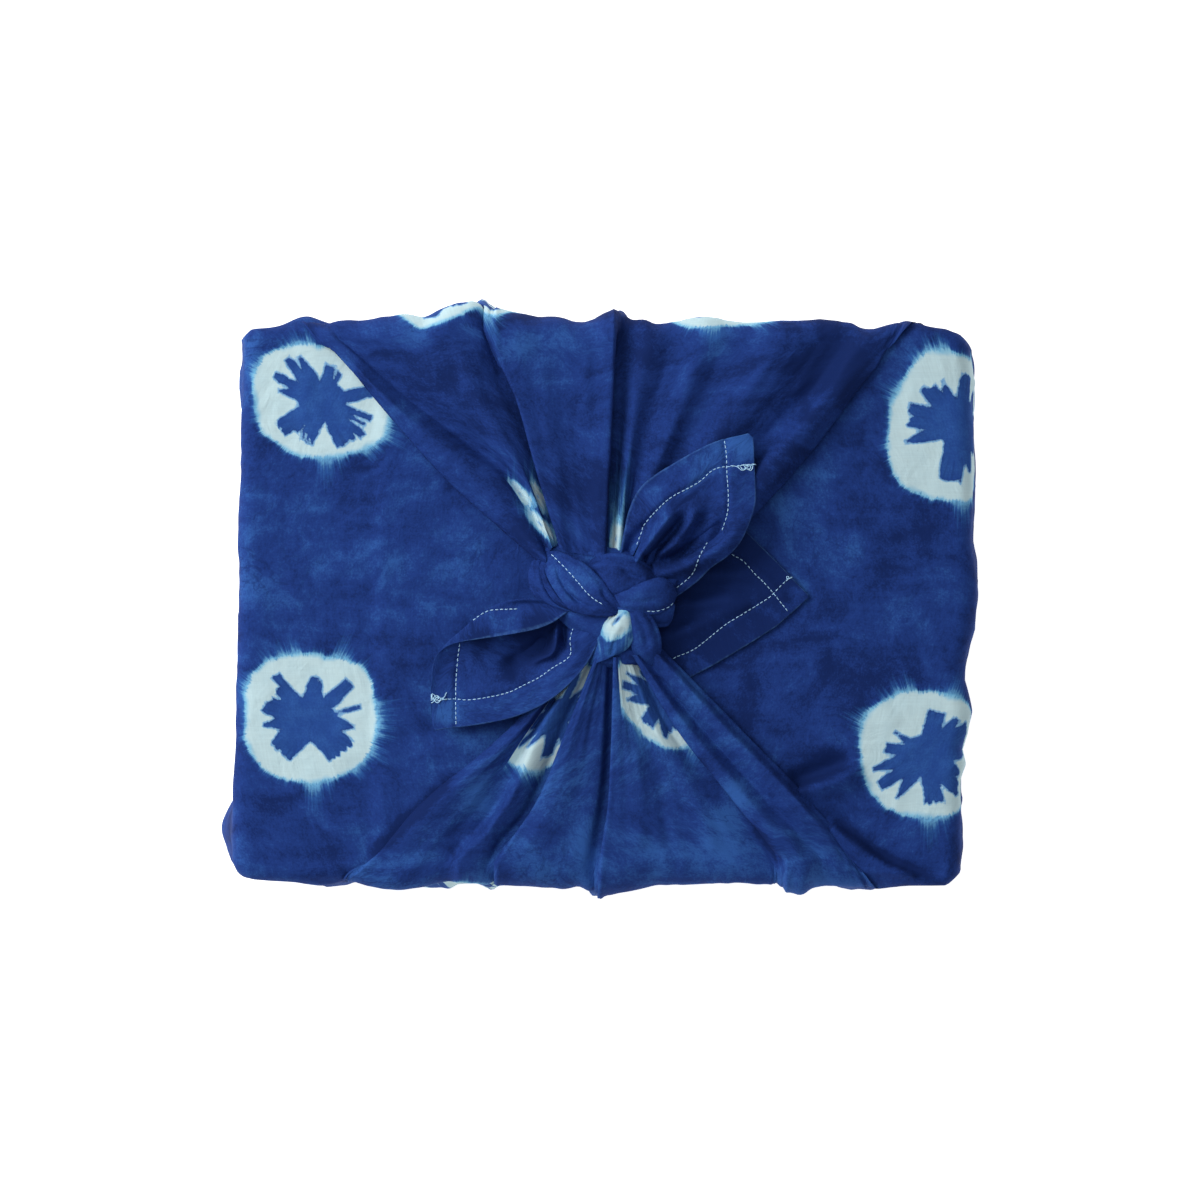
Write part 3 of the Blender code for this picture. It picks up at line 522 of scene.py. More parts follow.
def cloth_piece(name, grid, dye=None, worn=None, shift=(0.0, 0.0)):
    """One piece of cloth from a grid of points in millimetres."""
    rows, cols = grid.shape[:2]
    faces = quads(rows, cols)
    obj = finish_mesh(name, grid.reshape(-1, 3) * MM, faces, CLOTH_MATERIAL)
    mesh = obj.data
    down = np.concatenate([np.zeros((1, cols)), np.cumsum(np.linalg.norm(np.diff(grid, axis=0), axis=2), axis=0)])
    across = np.concatenate([np.zeros((rows, 1)), np.cumsum(np.linalg.norm(np.diff(grid, axis=1), axis=2), axis=1)], axis=1)
    across = across - across[:, cols // 2: cols // 2 + 1]
    down = down.mean(axis=1, keepdims=True) * 0.5 + down * 0.5
    flat = np.stack([across + shift[0], down + shift[1]], axis=-1).reshape(-1, 2) * MM
    layer = mesh.uv_layers.new(name="flat")
    layer.data.foreach_set("uv", flat[faces].astype(np.float32).ravel())
    layer = mesh.uv_layers.new(name="motif")
    local = np.full((len(faces), 4, 2), 0.08)
    if dye is not None and dye.places:
        owner = dye.owner.ravel()[faces].max(axis=1)
        for k, place in enumerate(dye.places):
            mine = owner == k
            local[mine] = place.reshape(-1, 2)[faces[mine]] * MM
    layer.data.foreach_set("uv", local.astype(np.float32).ravel())
    blank = np.full(rows * cols, -20.0)
    # tone per vertex, to which painted shade is added below
    tone_and_painted_shade = np.full(rows * cols, PIECE_TONE.get(name, -0.05))
    if name.startswith(("cloth", "tail")):
        high = grid[..., 2].ravel() > 85.0
        # lighter dye patches; the negative amounts are painted shade, apart from the darker patch at the back right
        for place, radius, amount in PALE_DYE_AND_PAINTED_SHADE:
            away = np.hypot(*(grid[..., :2].reshape(-1, 2) - plan(place)).T)
            tone_and_painted_shade += amount * np.exp(-((away / radius) ** 2)) * high
        flat_xy = grid[..., :2].reshape(-1, 2)
        # painted shade along the fold edges
        for amount, width, points in PAINTED_SHADE_BANDS:
            line = spline(np.arange(len(points)), plan(points), np.linspace(0, len(points) - 1, 24))
            close = high & (np.abs(flat_xy - line.mean(axis=0)) < 70.0).all(axis=1)
            if close.any():
                away, along = line_distance(flat_xy[close], line)
                ends = smooth(0.0, 0.22, along) * smooth(1.0, 0.78, along)
                tone_and_painted_shade[close] += amount * ends * np.exp(-((away / width) ** 2))
    # painted shade: the flap's tip beside the knot and under the upper tail is darkened
    if name == "cloth_left":
        x = grid[..., 0].ravel()
        tone_and_painted_shade -= 0.38 * smooth(-20.0, 30.0, x) * (grid[..., 2].ravel() > 80.0)
    if name == "cloth_front":
        tone_and_painted_shade += 0.12 * smooth(90.0, 112.0, -grid[..., 1].ravel()) - 0.06
    for key, values in (("ring", dye.ring if dye is not None else blank), ("star", dye.star if dye is not None else blank),
                        ("worn", worn if worn is not None else blank * 0.0), ("tone_and_painted_shade", tone_and_painted_shade)):
        mesh.attributes.new(key, "FLOAT", "POINT").data.foreach_set("value", np.asarray(values, np.float32).ravel())
    return obj


# ---------------------------------------------------------- outlines in plan
OUT_LEFT = ((243, 331), (240, 400), (239, 430), (238, 500), (237, 600), (236, 650), (233, 750), (231, 790), (231, 860), (234, 868))
OUT_RIGHT = ((969, 348), (970, 370), (972, 400), (974, 430), (975, 460), (974, 500), (973, 540), (976, 560), (977, 580),
             (976, 600), (973, 630), (965, 660), (964, 680), (971, 712), (967, 735), (962, 750), (966, 765), (962, 780),
             (962, 850), (960, 872), (957, 880))
OUT_BACK = ((243, 333), (262, 329), (276, 327), (286, 322), (298, 319.5), (306, 320.5), (320, 324), (340, 321), (370, 318), (390, 316), (403, 313), (425, 317), (440, 309), (455, 303), (470, 300),
            (480, 302), (500, 309), (520, 313), (535, 316), (550, 315), (565, 318), (580, 325), (595, 317), (605, 311), (615, 307),
            (621, 310), (630, 320), (645, 319), (655, 324), (683, 320), (705, 316), (720, 318), (745, 323), (780, 321), (820, 319),
            (850, 322), (862, 327), (875, 329), (890, 324), (900, 322), (910, 322), (922, 326), (945, 330), (959, 335))
OUT_FRONT = ((240, 873), (284, 879), (303, 879), (323, 880), (337, 880.5), (352, 882), (365, 886), (385, 890), (400, 891), (420, 888), (443, 882), (455, 884), (490, 885), (530, 887), (565, 890),
             (580, 886), (594, 895), (600, 898), (620, 893), (640, 889), (660, 885), (690, 885), (740, 883), (788, 887), (793, 893),
             (800, 896), (806, 894), (812, 888), (830, 886), (845, 887), (868, 888), (880, 891), (893, 889), (900, 885), (934, 884), (950, 882))


def edge_of(points, key, value):
    """Outline as a function: value coordinate for a key coordinate."""
    p = plan(points)
    order = np.argsort(p[:, key])
    return lambda at: np.interp(at, p[order, key], p[order, value])


FLAP_BACK = ((243, 330), (247.5, 328), (280, 326.4), (307, 323.4), (320, 323.5), (893, 331), (907, 327), (919, 325), (945, 328), (959, 333.5), (965, 336))
FLAP_FRONT = ((240, 877), (252, 879.5), (284, 881.5), (303, 882.5), (323, 881), (340, 880), (358, 879), (871, 884), (898, 886.5), (948, 886.5), (957, 883))
x_left, x_right = edge_of(OUT_LEFT, 1, 0), edge_of(OUT_RIGHT, 1, 0)
y_back, y_front = edge_of(OUT_BACK, 0, 1), edge_of(OUT_FRONT, 0, 1)
y_flap = {1: edge_of(FLAP_BACK, 0, 1), -1: edge_of(FLAP_FRONT, 0, 1)}
soft = Noise(3)


def crumple(u, v, size, seed=0.0):
    """Soft creases: ridged noise over a length scale in millimetres."""
    a = soft(u / size, v / size, seed)
    b = soft(u / size * 1.9 + 5.0, v / size * 1.9, seed + 4.0)
    return (1.0 - 2.4 * np.abs(a)) * 0.6 + (1.0 - 2.4 * np.abs(b)) * 0.3


# ------------------------------------------- base: flaps, sides and underside
def spaced(*spans):
    out = []
    for a, b, step in spans:
        count = max(1, int(round(abs(b - a) / step)))
        out += list(np.linspace(a, b, count, endpoint=False))
    return out + [spans[-1][1]]


# hem lines of the flap tip that lies open at the right, from the tip inwards
TIP_ABOVE = ((0.0, 0.0), (3.0, 3.0), (13.5, 13.8), (26.3, 26.2), (60.0, 62.0), (104.0, 108.0), (123.0, 111.5))
TIP_BELOW = ((0.0, 0.0), (3.0, 2.6), (13.3, 12.1), (24.6, 19.6), (40.7, 29.4), (52.6, 35.8), (70.0, 52.0), (104.0, 100.0), (123.0, 111.5))
TIP_Y = 4.6
SIDE_COLS = 10
GUSSET_BUMPS = ((1, -128.0, 3.8, 9.0), (1, 127.5, 3.4, 7.0), (-1, 119.0, 2.4, 8.0), (-1, -116.0, 2.6, 9.0), (-1, -138.0, 0.6, 14.0))


def base_rows(side, tops, sides):
    """Rows from a flap's tip over the rim and down the side: x, z, outward
    direction, distance from the edge, gusset depth and corner amount."""
    z_top, under = (Z_LEFT, 1.6) if side < 0 else (Z_RIGHT, 0.0)
    z_side = z_top - under
    rows = []
    for d in tops:
        z = z_top - under * smooth(64, 56, d)
        inward = float(np.interp(d, (RIM, 44.0, 57.0, 88.0, 120.0), (RIM, 44.0, 25.0, 6.0, CORNER)))
        inward += LAP * float(smooth(RIM, 14.0, d) * smooth(50.0, 44.0, d))
        rows.append(dict(x=side * (HALF_W - d), z=float(z), dx=0.0, dz=1.0, d=d, inward=inward,
                         corner=float(smooth(122.0, 54.0, d)), drop=0.0))
    for degrees in np.linspace(90.0, 0.0, 10)[1:]:
        a = math.radians(degrees)
        rows.append(dict(x=side * (HALF_W - RIM + RIM * math.cos(a)), z=z_side - RIM + RIM * math.sin(a),
                         dx=side * math.cos(a), dz=math.sin(a), d=0.0, inward=RIM, corner=1.0, drop=RIM * (1 - degrees / 90.0)))
    for d in sides:
        z = z_side - d
        inward = float(np.interp(z, (1.4, 3.4, 9.0, 36.0, z_side - 44.0, z_side - RIM), (9.0, 20.0, 17.0, 31.4, 44.0, RIM)))
        turn = float(smooth(6.0, 0.6, z))
        rows.append(dict(x=side * (HALF_W - 0.9 * turn), z=z, dx=float(side), dz=0.0, d=0.0, inward=inward,
                         corner=1.0 - turn, drop=d))
    return rows


def base_piece(name, side, tops, sides, bottoms, columns, motifs, creases):
    rows = base_rows(side, tops, sides)
    for x in bottoms:
        rows.append(dict(x=x, z=0.45, dx=0.0, dz=-1.0, d=0.0, inward=CORNER, corner=0.0, drop=120.0))
    across = np.linspace(-1.0, 1.0, columns)
    grid = np.zeros((len(rows), columns + 2 * SIDE_COLS, 3))
    for i, r in enumerate(rows):
        reach = FLAP_REACH - r["d"]
        if r["d"] > 120.0 and side < 0:
            low, high = TIP_Y - np.interp(reach, *zip(*TIP_BELOW)), TIP_Y + np.interp(reach, *zip(*TIP_ABOVE))
        elif r["d"] > 120.0:
            half = min(reach + 0.3, HALF_D - CORNER)
            low, high = -half, half
        else:
            low, high = -(HALF_D - CORNER), HALF_D - CORNER
        y = low + (high - low) * (across + 1) / 2
        grid[i, SIDE_COLS:-SIDE_COLS] = np.stack([np.full(columns, r["x"]), y, np.full(columns, r["z"])], axis=1)
        hem = min(HEM, 0.42 * (high - low))
        for k in range(1, SIDE_COLS + 1):
            a = math.radians(90.0 * min(k, 5) / 5)
            out_c = CORNER * math.sin(a)
            in_c = CORNER * (1 - math.cos(a)) + max(0.0, r["inward"] - CORNER) * max(0, k - 5) / 5
            out_h, in_h = ((0.5, 0.2), (0.6, 0.6), (0.2, 1.0), (-1.0, 1.1))[min(k, 4) - 1]
            if k > 4:
                out_h, in_h = -1.0 - (hem - 1.0) * (k - 4) / 6.0, 1.15
            if r["drop"] > 100.0:
                out_h, in_h = CORNER * min(k, 5) / 5, 0.0
            c = r["corner"]
            if 0.0 < r["drop"] < 100.0:
                out_c -= 0.8 * max(0, k - 5) / 5
            for sign, col in ((-1, SIDE_COLS - k), (1, SIDE_COLS + columns - 1 + k)):
                edge = low if sign < 0 else high
                grid[i, col] = (r["x"] - r["dx"] * in_c * c, edge + sign * (out_h + (out_c - out_h) * c),
                                r["z"] - r["dz"] * in_c * c - in_h * (1 - c) * (1.0 if r["drop"] < 100.0 else 0.0))
    gx, gy, gz = grid[..., 0].copy(), grid[..., 1].copy(), grid[..., 2].copy()
    drop = np.array([r["drop"] for r in rows])[:, None]
    d = np.array([r["d"] for r in rows])[:, None]
    down = np.array([1.0 if r["drop"] > 0 else 0.0 for r in rows])[:, None]
    # rim follows the outline; the side below it hangs a little slack
    want = (x_left(gy) + HALF_W) if side < 0 else (x_right(gy) - HALF_W)
    want = np.where(np.abs(gy) > 113, want * 0.6, want)
    weight = smooth(46.0, RIM, d) * smooth(101.0, 45.0, drop) * np.where(drop > 100, 0.0, 1.0)
    top_cols = np.ones(grid.shape[1])
    grid[..., 0] += want * weight * top_cols
    slack = soft.layers(gy / 34.0, drop / 30.0 + 0.0 * gy, 3.0 * side + 9.0, 3) * 1.7
    slack += (1.2 if side < 0 else 2.4) * np.sin(np.pi * np.clip(drop / 96.0, 0, 1))
    if side < 0:
        slack += 6.0 * np.exp(-((gy + 98.0) / 11.0) ** 2) * np.exp(-((drop - 42.0) / 19.0) ** 2)
        slack -= 1.6 * np.exp(-((gy + 80.0) / 7.0) ** 2) * np.exp(-((drop - 40.0) / 30.0) ** 2)
    grid[..., 0] += side * slack * down * smooth(0.0, 14.0, drop) * smooth(96.0, 84.0, drop)
    # edges and gusset cloth behind and in front
    for sign in (1, -1):
        move = (y_flap[sign](gx) - sign * HALF_D) * smooth(92.0, 113.0, sign * gy) * smooth(20.0, 70.0, gz) * smooth(80.0, 96.0, np.abs(gx))
        grid[..., 1] += move * (drop < 100)
    for sign, x0, height, width in GUSSET_BUMPS:
        if (x0 < 0) != (side < 0):
            continue
        bump = height * np.exp(-((gx - x0) / width) ** 2) * smooth(50.0, 72.0, gz) * smooth(95.0, 90.5, gz) * smooth(100.0, 108.0, sign * gy)
        grid[..., 1] += sign * bump * (drop < 100)
    # unevenness of the lying cloth
    lying = (1 - down) * smooth(0.0, 20.0, d + 5.0)
    wave = 0.55 * soft.layers(gx / 30.0, gy / 30.0, 1.5 + side, 3) + 0.35 * crumple(gx, gy, 17.0, side + 5.0)
    wave += relief(grid[..., :2], creases)
    inside = smooth(2.0, 12.0, np.minimum(gy - grid[:, SIDE_COLS, 1][:, None], grid[:, -SIDE_COLS - 1, 1][:, None] - gy))
    wave = np.where((d > 120.0), wave * (0.25 + 0.5 * inside), wave)
    if side < 0:
        wave = wave + relief(grid[..., :2], TIP_FOLDS) * (d > 160.0) * (0.45 + 0.55 * inside)
    grid[..., 2] += lying * wave * np.where(np.abs(gy) > 112, 0.3, 1.0)
    hang = down * smooth(0.0, 10.0, drop) * smooth(97.0, 90.0, drop)
    grid[..., 0] += side * hang * 0.5 * crumple(gy, drop + 0 * gy, 15.0, side + 2.0)

    # dye: x runs on over the rim and down the side, y round the corners
    run = np.array([r["x"] for r in rows])
    middle = grid[:, SIDE_COLS + columns // 2]
    over = np.concatenate([[0.0], np.cumsum(np.linalg.norm(np.diff(middle, axis=0), axis=1))])
    first = int(np.argmax(d[:, 0] < RIM + 0.5))
    along = np.where(np.arange(len(rows)) <= first, run, run[first] + side * (over - over[first]))
    lateral = gy.copy()
    for sign, cols in ((-1, range(SIDE_COLS - 1, -1, -1)), (1, range(SIDE_COLS + columns, grid.shape[1]))):
        for c in cols:
            near = c - sign
            lateral[:, c] = lateral[:, near] + sign * np.linalg.norm(grid[:, c] - grid[:, near], axis=1)
    dye = Dye(np.stack([along[:, None] + 0 * gy + want * weight, lateral], axis=-1))
    for centre, kind, turn in motifs:
        dye.motif(centre, kind, turn)
    worn = np.zeros(gy.shape)
    for c, w in ((SIDE_COLS - 3, 0.5), (SIDE_COLS - 2, 1.0), (SIDE_COLS - 1, 1.0), (SIDE_COLS, 0.5)):
        worn[:, c] = worn[:, -1 - c] = w
    worn *= smooth(100.0, 130.0, d) * 0.6
    return cloth_piece(name, grid, dye, worn, shift=(0.0, 300.0 * side))


M1, M2 = plan((322, 401)), plan((310, 719))
M3, M4 = plan((960, 425)), plan((926, 755))
# fold and crease lines on the flat flaps: height, left and right width, fades, plan points
LEFT_CREASES = (
    (0.9, 3.0, 5.0, 0.3, 0.3, ((400, 762), (450, 745), (505, 730))),
    (-0.8, 4.0, 4.0, 0.3, 0.3, ((380, 745), (430, 728), (470, 718))),
    (0.8, 4.0, 5.0, 0.4, 0.3, ((372, 462), (420, 470), (470, 492))),
    (-0.6, 4.0, 5.0, 0.4, 0.3, ((360, 480), (420, 500), (490, 540))),
    (0.7, 5.0, 5.0, 0.4, 0.4, ((300, 540), (360, 560), (430, 575))),
    (-0.6, 4.0, 4.0, 0.4, 0.4, ((280, 600), (350, 600), (430, 605))),
    (0.6, 4.0, 6.0, 0.4, 0.4, ((300, 850), (350, 820), (400, 800))),
    (0.5, 3.0, 4.0, 0.4, 0.4, ((246, 560), (262, 600), (256, 650))),
    (-0.9, 1.1, 1.1, 0.0, 0.1, ((731, 554), (743, 561), (764, 582.5), (775, 595), (791, 615.5))),
    (-0.9, 1.1, 1.1, 0.1, 0.0, ((659, 667), (693, 650), (725, 625), (743, 613.8), (771, 596), (789, 578))),
)
TIP_FOLDS = (
    (3.0, 4.5, 4.0, 0.0, 0.3, ((660, 640), (690, 628), (718, 612), (745, 602), (764, 592))),
    (2.6, 3.5, 3.5, 0.1, 0.3, ((672, 606), (700, 604), (728, 597), (748, 590))),
    (2.8, 4.0, 3.5, 0.0, 0.35, ((690, 572), (715, 574), (738, 574), (760, 582))),
    (-1.2, 3.0, 3.0, 0.1, 0.3, ((676, 592), (702, 590), (736, 584))),
    (-1.2, 3.0, 3.0, 0.1, 0.3, ((668, 622), (700, 616), (730, 604))),
    (1.2, 3.0, 3.0, 0.2, 0.2, ((742, 560), (766, 582), (792, 606))),
)
RIGHT_CREASES = (
    (6.0, 2.0, 8.0, 0.1, 0.3, ((792, 792), (812, 784), (830, 777), (850, 770), (866, 764))),
    (-4.6, 7.0, 2.2, 0.1, 0.35, ((790, 786), (812, 779), (830, 772), (848, 766), (860, 761))),
    (0.9, 4.0, 4.0, 0.4, 0.3, ((838, 398), (862, 402), (890, 410))),
    (-0.8, 4.0, 4.0, 0.3, 0.3, ((830, 430), (856, 434), (884, 440))),
    (0.7, 4.0, 5.0, 0.4, 0.4, ((800, 500), (850, 520), (930, 520))),
    (-0.6, 5.0, 5.0, 0.4, 0.4, ((820, 560), (880, 570), (940, 560))),
    (0.7, 5.0, 5.0, 0.4, 0.4, ((780, 650), (850, 640), (930, 650))),
    (0.8, 3.0, 5.0, 0.3, 0.3, ((872, 700), (890, 716), (905, 722))),
    (4.6, 1.0, 9.0, 0.12, 0.1, ((822, 816), (836, 829), (857, 843.6), (884.7, 864), (919, 878), (948, 885))),
    (-2.6, 4.5, 1.2, 0.12, 0.1, ((827, 812), (842, 824), (862, 839), (889, 859.5), (922, 873.5), (950, 881))),
)
REPEAT = 135.0
LEFT_MOTIFS = ((M1, "wheel", 0.0), (M2, "fan", 0.0), (M1 - (REPEAT, 0.0), "leaf", 20.0), (M2 - (REPEAT, 0.0), "hand", 70.0))
RIGHT_MOTIFS = ((M3, "hand", 0.0), (M4, "leaf", 0.0))

left_tops = spaced((FLAP_REACH - 0.3, 190.0, 1.25), (190.0, 134.0, 3.2), (134.0, 71.0, 1.5), (71.0, 14.0, 0.9), (14.0, RIM, 1.4))
right_tops = spaced((FLAP_REACH - 0.3, 118.0, 3.8), (118.0, 42.0, 1.5), (42.0, 12.0, 0.9), (12.0, RIM, 1.2))
cloth_left = base_piece("cloth_left", -1, left_tops, spaced((RIM + 1.5, 95.6, 1.9)), spaced((-151.7, 151.7, 4.5)), 196,
                        LEFT_MOTIFS, LEFT_CREASES)
cloth_right = base_piece("cloth_right", 1, right_tops, spaced((RIM + 0.9, 30.0, 0.9), (30.0, 95.6, 1.9)), [151.7], 196,
                         RIGHT_MOTIFS, RIGHT_CREASES)


# ----------------------------------------------------- gathered back and front
COLUMNS = ("edge", "far", "near", "knot_x", "knot_y", "side", "top", "turn")
BACK = (
    # edge    far   near  knot_x knot_y side  top  turn
    (-121.0, -83.0, -47.0, -17.0, 24.0, 0.0, 0.0, 0.0),
    (-118.5, -95.4, -66.5, -23.5, 19.5, 1.0, 0.8, 2.4),
    (-115.5, -91.0, -54.0, -23.0, 22.0, 4.4, 6.8, 0.0),
    (-113.5, -86.5, -44.5, -22.5, 24.0, 2.6, 4.6, 0.0),
    (-112.0, -81.0, -39.0, -22.0, 25.0, 0.8, 0.6, 0.0),
    (-92.0, -66.0, -35.0, -21.5, 26.5, 2.6, 4.0, 0.0),
    (-70.0, -53.0, -32.5, -20.5, 27.5, 4.4, 6.6, 0.0),
    (-57.0, -43.0, -29.5, -19.5, 28.0, 4.8, 3.6, 0.0),
    (-49.5, -33.5, -24.8, -17.0, 27.0, 1.6, 0.4, 0.0),
    (-50.0, -26.0, -19.5, -14.0, 26.0, 4.0, 1.2, 2.2),
    (-46.0, -36.0, -26.5, -17.0, 27.5, 8.2, 7.2, 2.2),
    (-39.0, -31.0, -22.8, -15.0, 26.5, 8.2, 9.4, 0.0),
    (-22.5, -18.0, -13.5, -9.0, 25.0, 6.2, 6.4, 0.0),
    (-6.0, -6.0, -4.6, -3.0, 24.0, 6.0, 6.6, 0.0),
    (5.2, 4.2, 2.8, 1.5, 23.5, 6.8, 9.0, -2.2),
    (7.0, -7.0, -6.0, -3.0, 23.0, 3.0, 2.6, -2.2),
    (11.0, 8.5, 6.6, 4.5, 22.0, 0.6, 0.3, 0.0),
    (20.0, 14.5, 10.3, 7.0, 21.5, 1.6, 4.8, 0.0),
    (30.0, 22.5, 14.5, 10.0, 21.5, 1.6, 2.0, 0.0),
    (44.0, 34.0, 21.0, 13.0, 20.5, 2.4, 5.6, 0.0),
    (58.0, 46.0, 28.0, 15.5, 19.5, 1.8, 2.6, 0.0),
    (76.0, 60.0, 37.0, 18.5, 18.0, 2.4, 6.8, 0.0),
    (96.0, 77.0, 50.0, 22.0, 15.5, 1.2, 1.6, 0.0),
    (103.0, 84.5, 56.0, 23.5, 14.0, 0.8, 0.6, 0.0),
    (111.5, 93.0, 65.0, 26.0, 12.0, 4.0, 8.0, 0.0),
    (118.0, 99.0, 73.0, 28.0, 10.0, 4.2, 6.6, 0.0),
    (121.0, 103.5, 78.5, 29.5, 8.0, 2.6, 1.4, -2.4),
    (124.0, 86.0, 58.0, 23.0, 10.0, 0.0, 0.0, 0.0),
)
FRONT = (
    (-101.0, -58.0, -24.0, -4.0, -23.5, 0.0, 0.0, 0.0),
    (-99.0, -74.8, -38.0, -10.5, -22.5, 1.0, 0.6, 4.4),
    (-92.5, -68.5, -34.0, -9.0, -24.0, 4.4, 6.8, 0.0),
    (-82.0, -58.5, -31.5, -8.0, -24.5, 3.0, 4.8, 0.0),
    (-70.5, -49.5, -29.5, -7.2, -24.5, 1.4, 1.4, 0.0),
    (-64.0, -44.5, -28.0, -6.5, -25.0, 0.6, 0.3, 0.0),
    (-58.0, -39.0, -24.5, -5.0, -25.5, 3.8, 6.4, 0.0),
    (-51.0, -33.0, -19.0, -3.5, -25.5, 2.4, 3.6, 0.0),
    (-47.0, -29.5, -15.8, -2.0, -25.0, 1.2, 0.6, 0.0),
    (-42.0, -17.0, -8.5, -0.5, -24.5, 0.8, 1.6, 2.2),
    (-43.0, -26.8, -13.8, -1.5, -26.0, 2.0, 6.0, 2.0),
    (-35.0, -21.5, -10.8, -0.5, -26.0, 3.4, 8.2, 0.0),
    (-18.0, -9.5, -4.0, 1.5, -25.5, 4.4, 5.2, 0.0),
    (-8.0, -1.0, 1.5, 3.0, -25.0, 3.6, 4.2, 0.0),
    (-2.0, 2.6, 4.4, 4.5, -25.0, 0.8, 0.4, 0.0),
    (0.0, 14.5, 12.5, 7.0, -24.0, 2.6, 1.4, 2.2),
    (1.2, 4.3, 5.6, 6.0, -25.5, 6.4, 7.4, 2.0),
    (12.0, 12.0, 9.8, 7.5, -25.5, 5.0, 8.6, 0.0),
    (39.5, 31.0, 19.0, 10.0, -24.5, 3.4, 5.2, 0.0),
    (60.0, 47.0, 26.5, 12.0, -24.0, 1.8, 3.6, 0.0),
    (74.5, 58.0, 32.5, 13.5, -23.5, 1.2, 0.6, 0.0),
    (77.0, 72.0, 44.0, 15.0, -22.5, 1.6, 1.0, 2.4),
    (80.0, 60.8, 34.5, 14.5, -24.5, 5.2, 6.0, 2.0),
    (87.0, 67.0, 39.0, 16.0, -24.5, 6.4, 9.0, 0.0),
    (96.0, 75.5, 45.5, 18.0, -23.5, 5.0, 3.6, 0.0),
    (100.5, 82.0, 50.5, 20.0, -22.5, 5.0, 7.0, 0.0),
    (105.5, 87.5, 55.5, 22.0, -21.5, 4.4, 7.4, 0.0),
    (109.8, 92.5, 61.5, 24.5, -20.5, 2.6, 1.0, -3.8),
    (111.5, 74.0, 42.0, 18.0, -21.0, 0.0, 0.0, 0.0),
)
FOOT_HALF = 150.0


def fold_lines(table):
    """Every row as one line, or as three round a sharp turn."""
    ends = (1.0, 0.72, 0.72, 0.5, 0.2)
    rows = [dict(zip(COLUMNS, row), row=k, flat=0.0) for k, row in enumerate(table)]
    for k, share in enumerate(ends):
        rows[k]["flat"] = rows[-1 - k]["flat"] = share
    lines = []
    for k, row in enumerate(rows):
        if not row["turn"]:
            lines.append(dict(row))
            continue
        going = math.copysign(1.0, row["far"] - rows[k - 1]["far"])
        for part, push in ((0.0, -0.5), (0.5, 0.5), (1.0, -0.5)):
            line = dict(row)
            for key in ("far", "near", "knot_x"):
                line[key] += going * push * abs(row["turn"]) * 0.5
            line["edge"] += 1.4 * (part - 0.5)
            line["side"] += row["turn"] * part
            line["top"] += row["turn"] * part
            lines.append(line)
    run, span = [0.0], [0.0]
    for a, b in zip(lines, lines[1:]):
        step = math.hypot(b["far"] - a["far"], b["top"] - a["top"])
        run.append(run[-1] + max(step, 3.5))
        span.append(span[-1] + max(step, 1.6))
    for line, r, s in zip(lines, run, span):
        line["foot"] = FOOT_HALF * (2 * r / run[-1] - 1)
        line["at"] = s
    return lines


def fan_base(x):
    return Z_FAN - 1.6 * smooth(70.0, 105.0, x) - 1.2 * smooth(-95.0, -125.0, x)


def fan_path(line, sign):
    """Dense points of one fold line, from the bottom edge to the knot."""
    z = np.asarray(spaced((0.5, 90.0, 2.0)))
    onward = float(np.clip((line["edge"] - line["far"]) / 26.0, -1.1, 1.1)) * min(1.0, 1.4 * line["flat"])
    low = line["edge"] + onward * (RIM + 0.5)
    x = line["foot"] + (low - line["foot"]) * z / 95.0
    flat = line["flat"]
    y = HALF_D + 0.5 + (LAYER - 0.5) * smooth(0.5, 5.0, z) + line["side"] * smooth(2.0, 60.0, z) * (1 - flat * smooth(30.0, 85.0, z))
    pts = [np.stack([x, sign * y, z], axis=1)]
    a = np.radians(np.linspace(0.0, 90.0, 12))
    h = (line["side"] + (line["top"] - line["side"]) * np.degrees(a) / 110.0) * (1 - flat)
    base = fan_base(line["edge"])
    pts.append(np.stack([line["edge"] + onward * (RIM + h) * np.cos(a), sign * (Y_PANEL - RIM + (RIM + h) * np.cos(a)), base - RIM + (RIM + h) * np.sin(a)], axis=1))
    end = abs(line["knot_y"]) - 3.5
    y = np.concatenate([np.linspace(110.4, 54.0, 52), np.linspace(54.0, end, 34)[1:]])
    x = spline((-112.0, -86.0, -54.0, -end), (line["edge"], line["far"], line["near"], line["knot_x"]), -y)
    h = line["side"] + (line["top"] - line["side"]) * np.minimum(1.0, 0.82 + 0.18 * smooth(110, 96, y))
    h = h * (1 - flat * (1 - smooth(111.5, 84.0, y)))
    ending = np.where(y < 54.0, (54.0 - y) / (54.0 - end), 0.0)
    pts.append(np.stack([x, sign * y, fan_base(x) + h * (1 - 0.30 * ending) + 5.5 * ending**2.2], axis=1))
    return np.concatenate(pts)


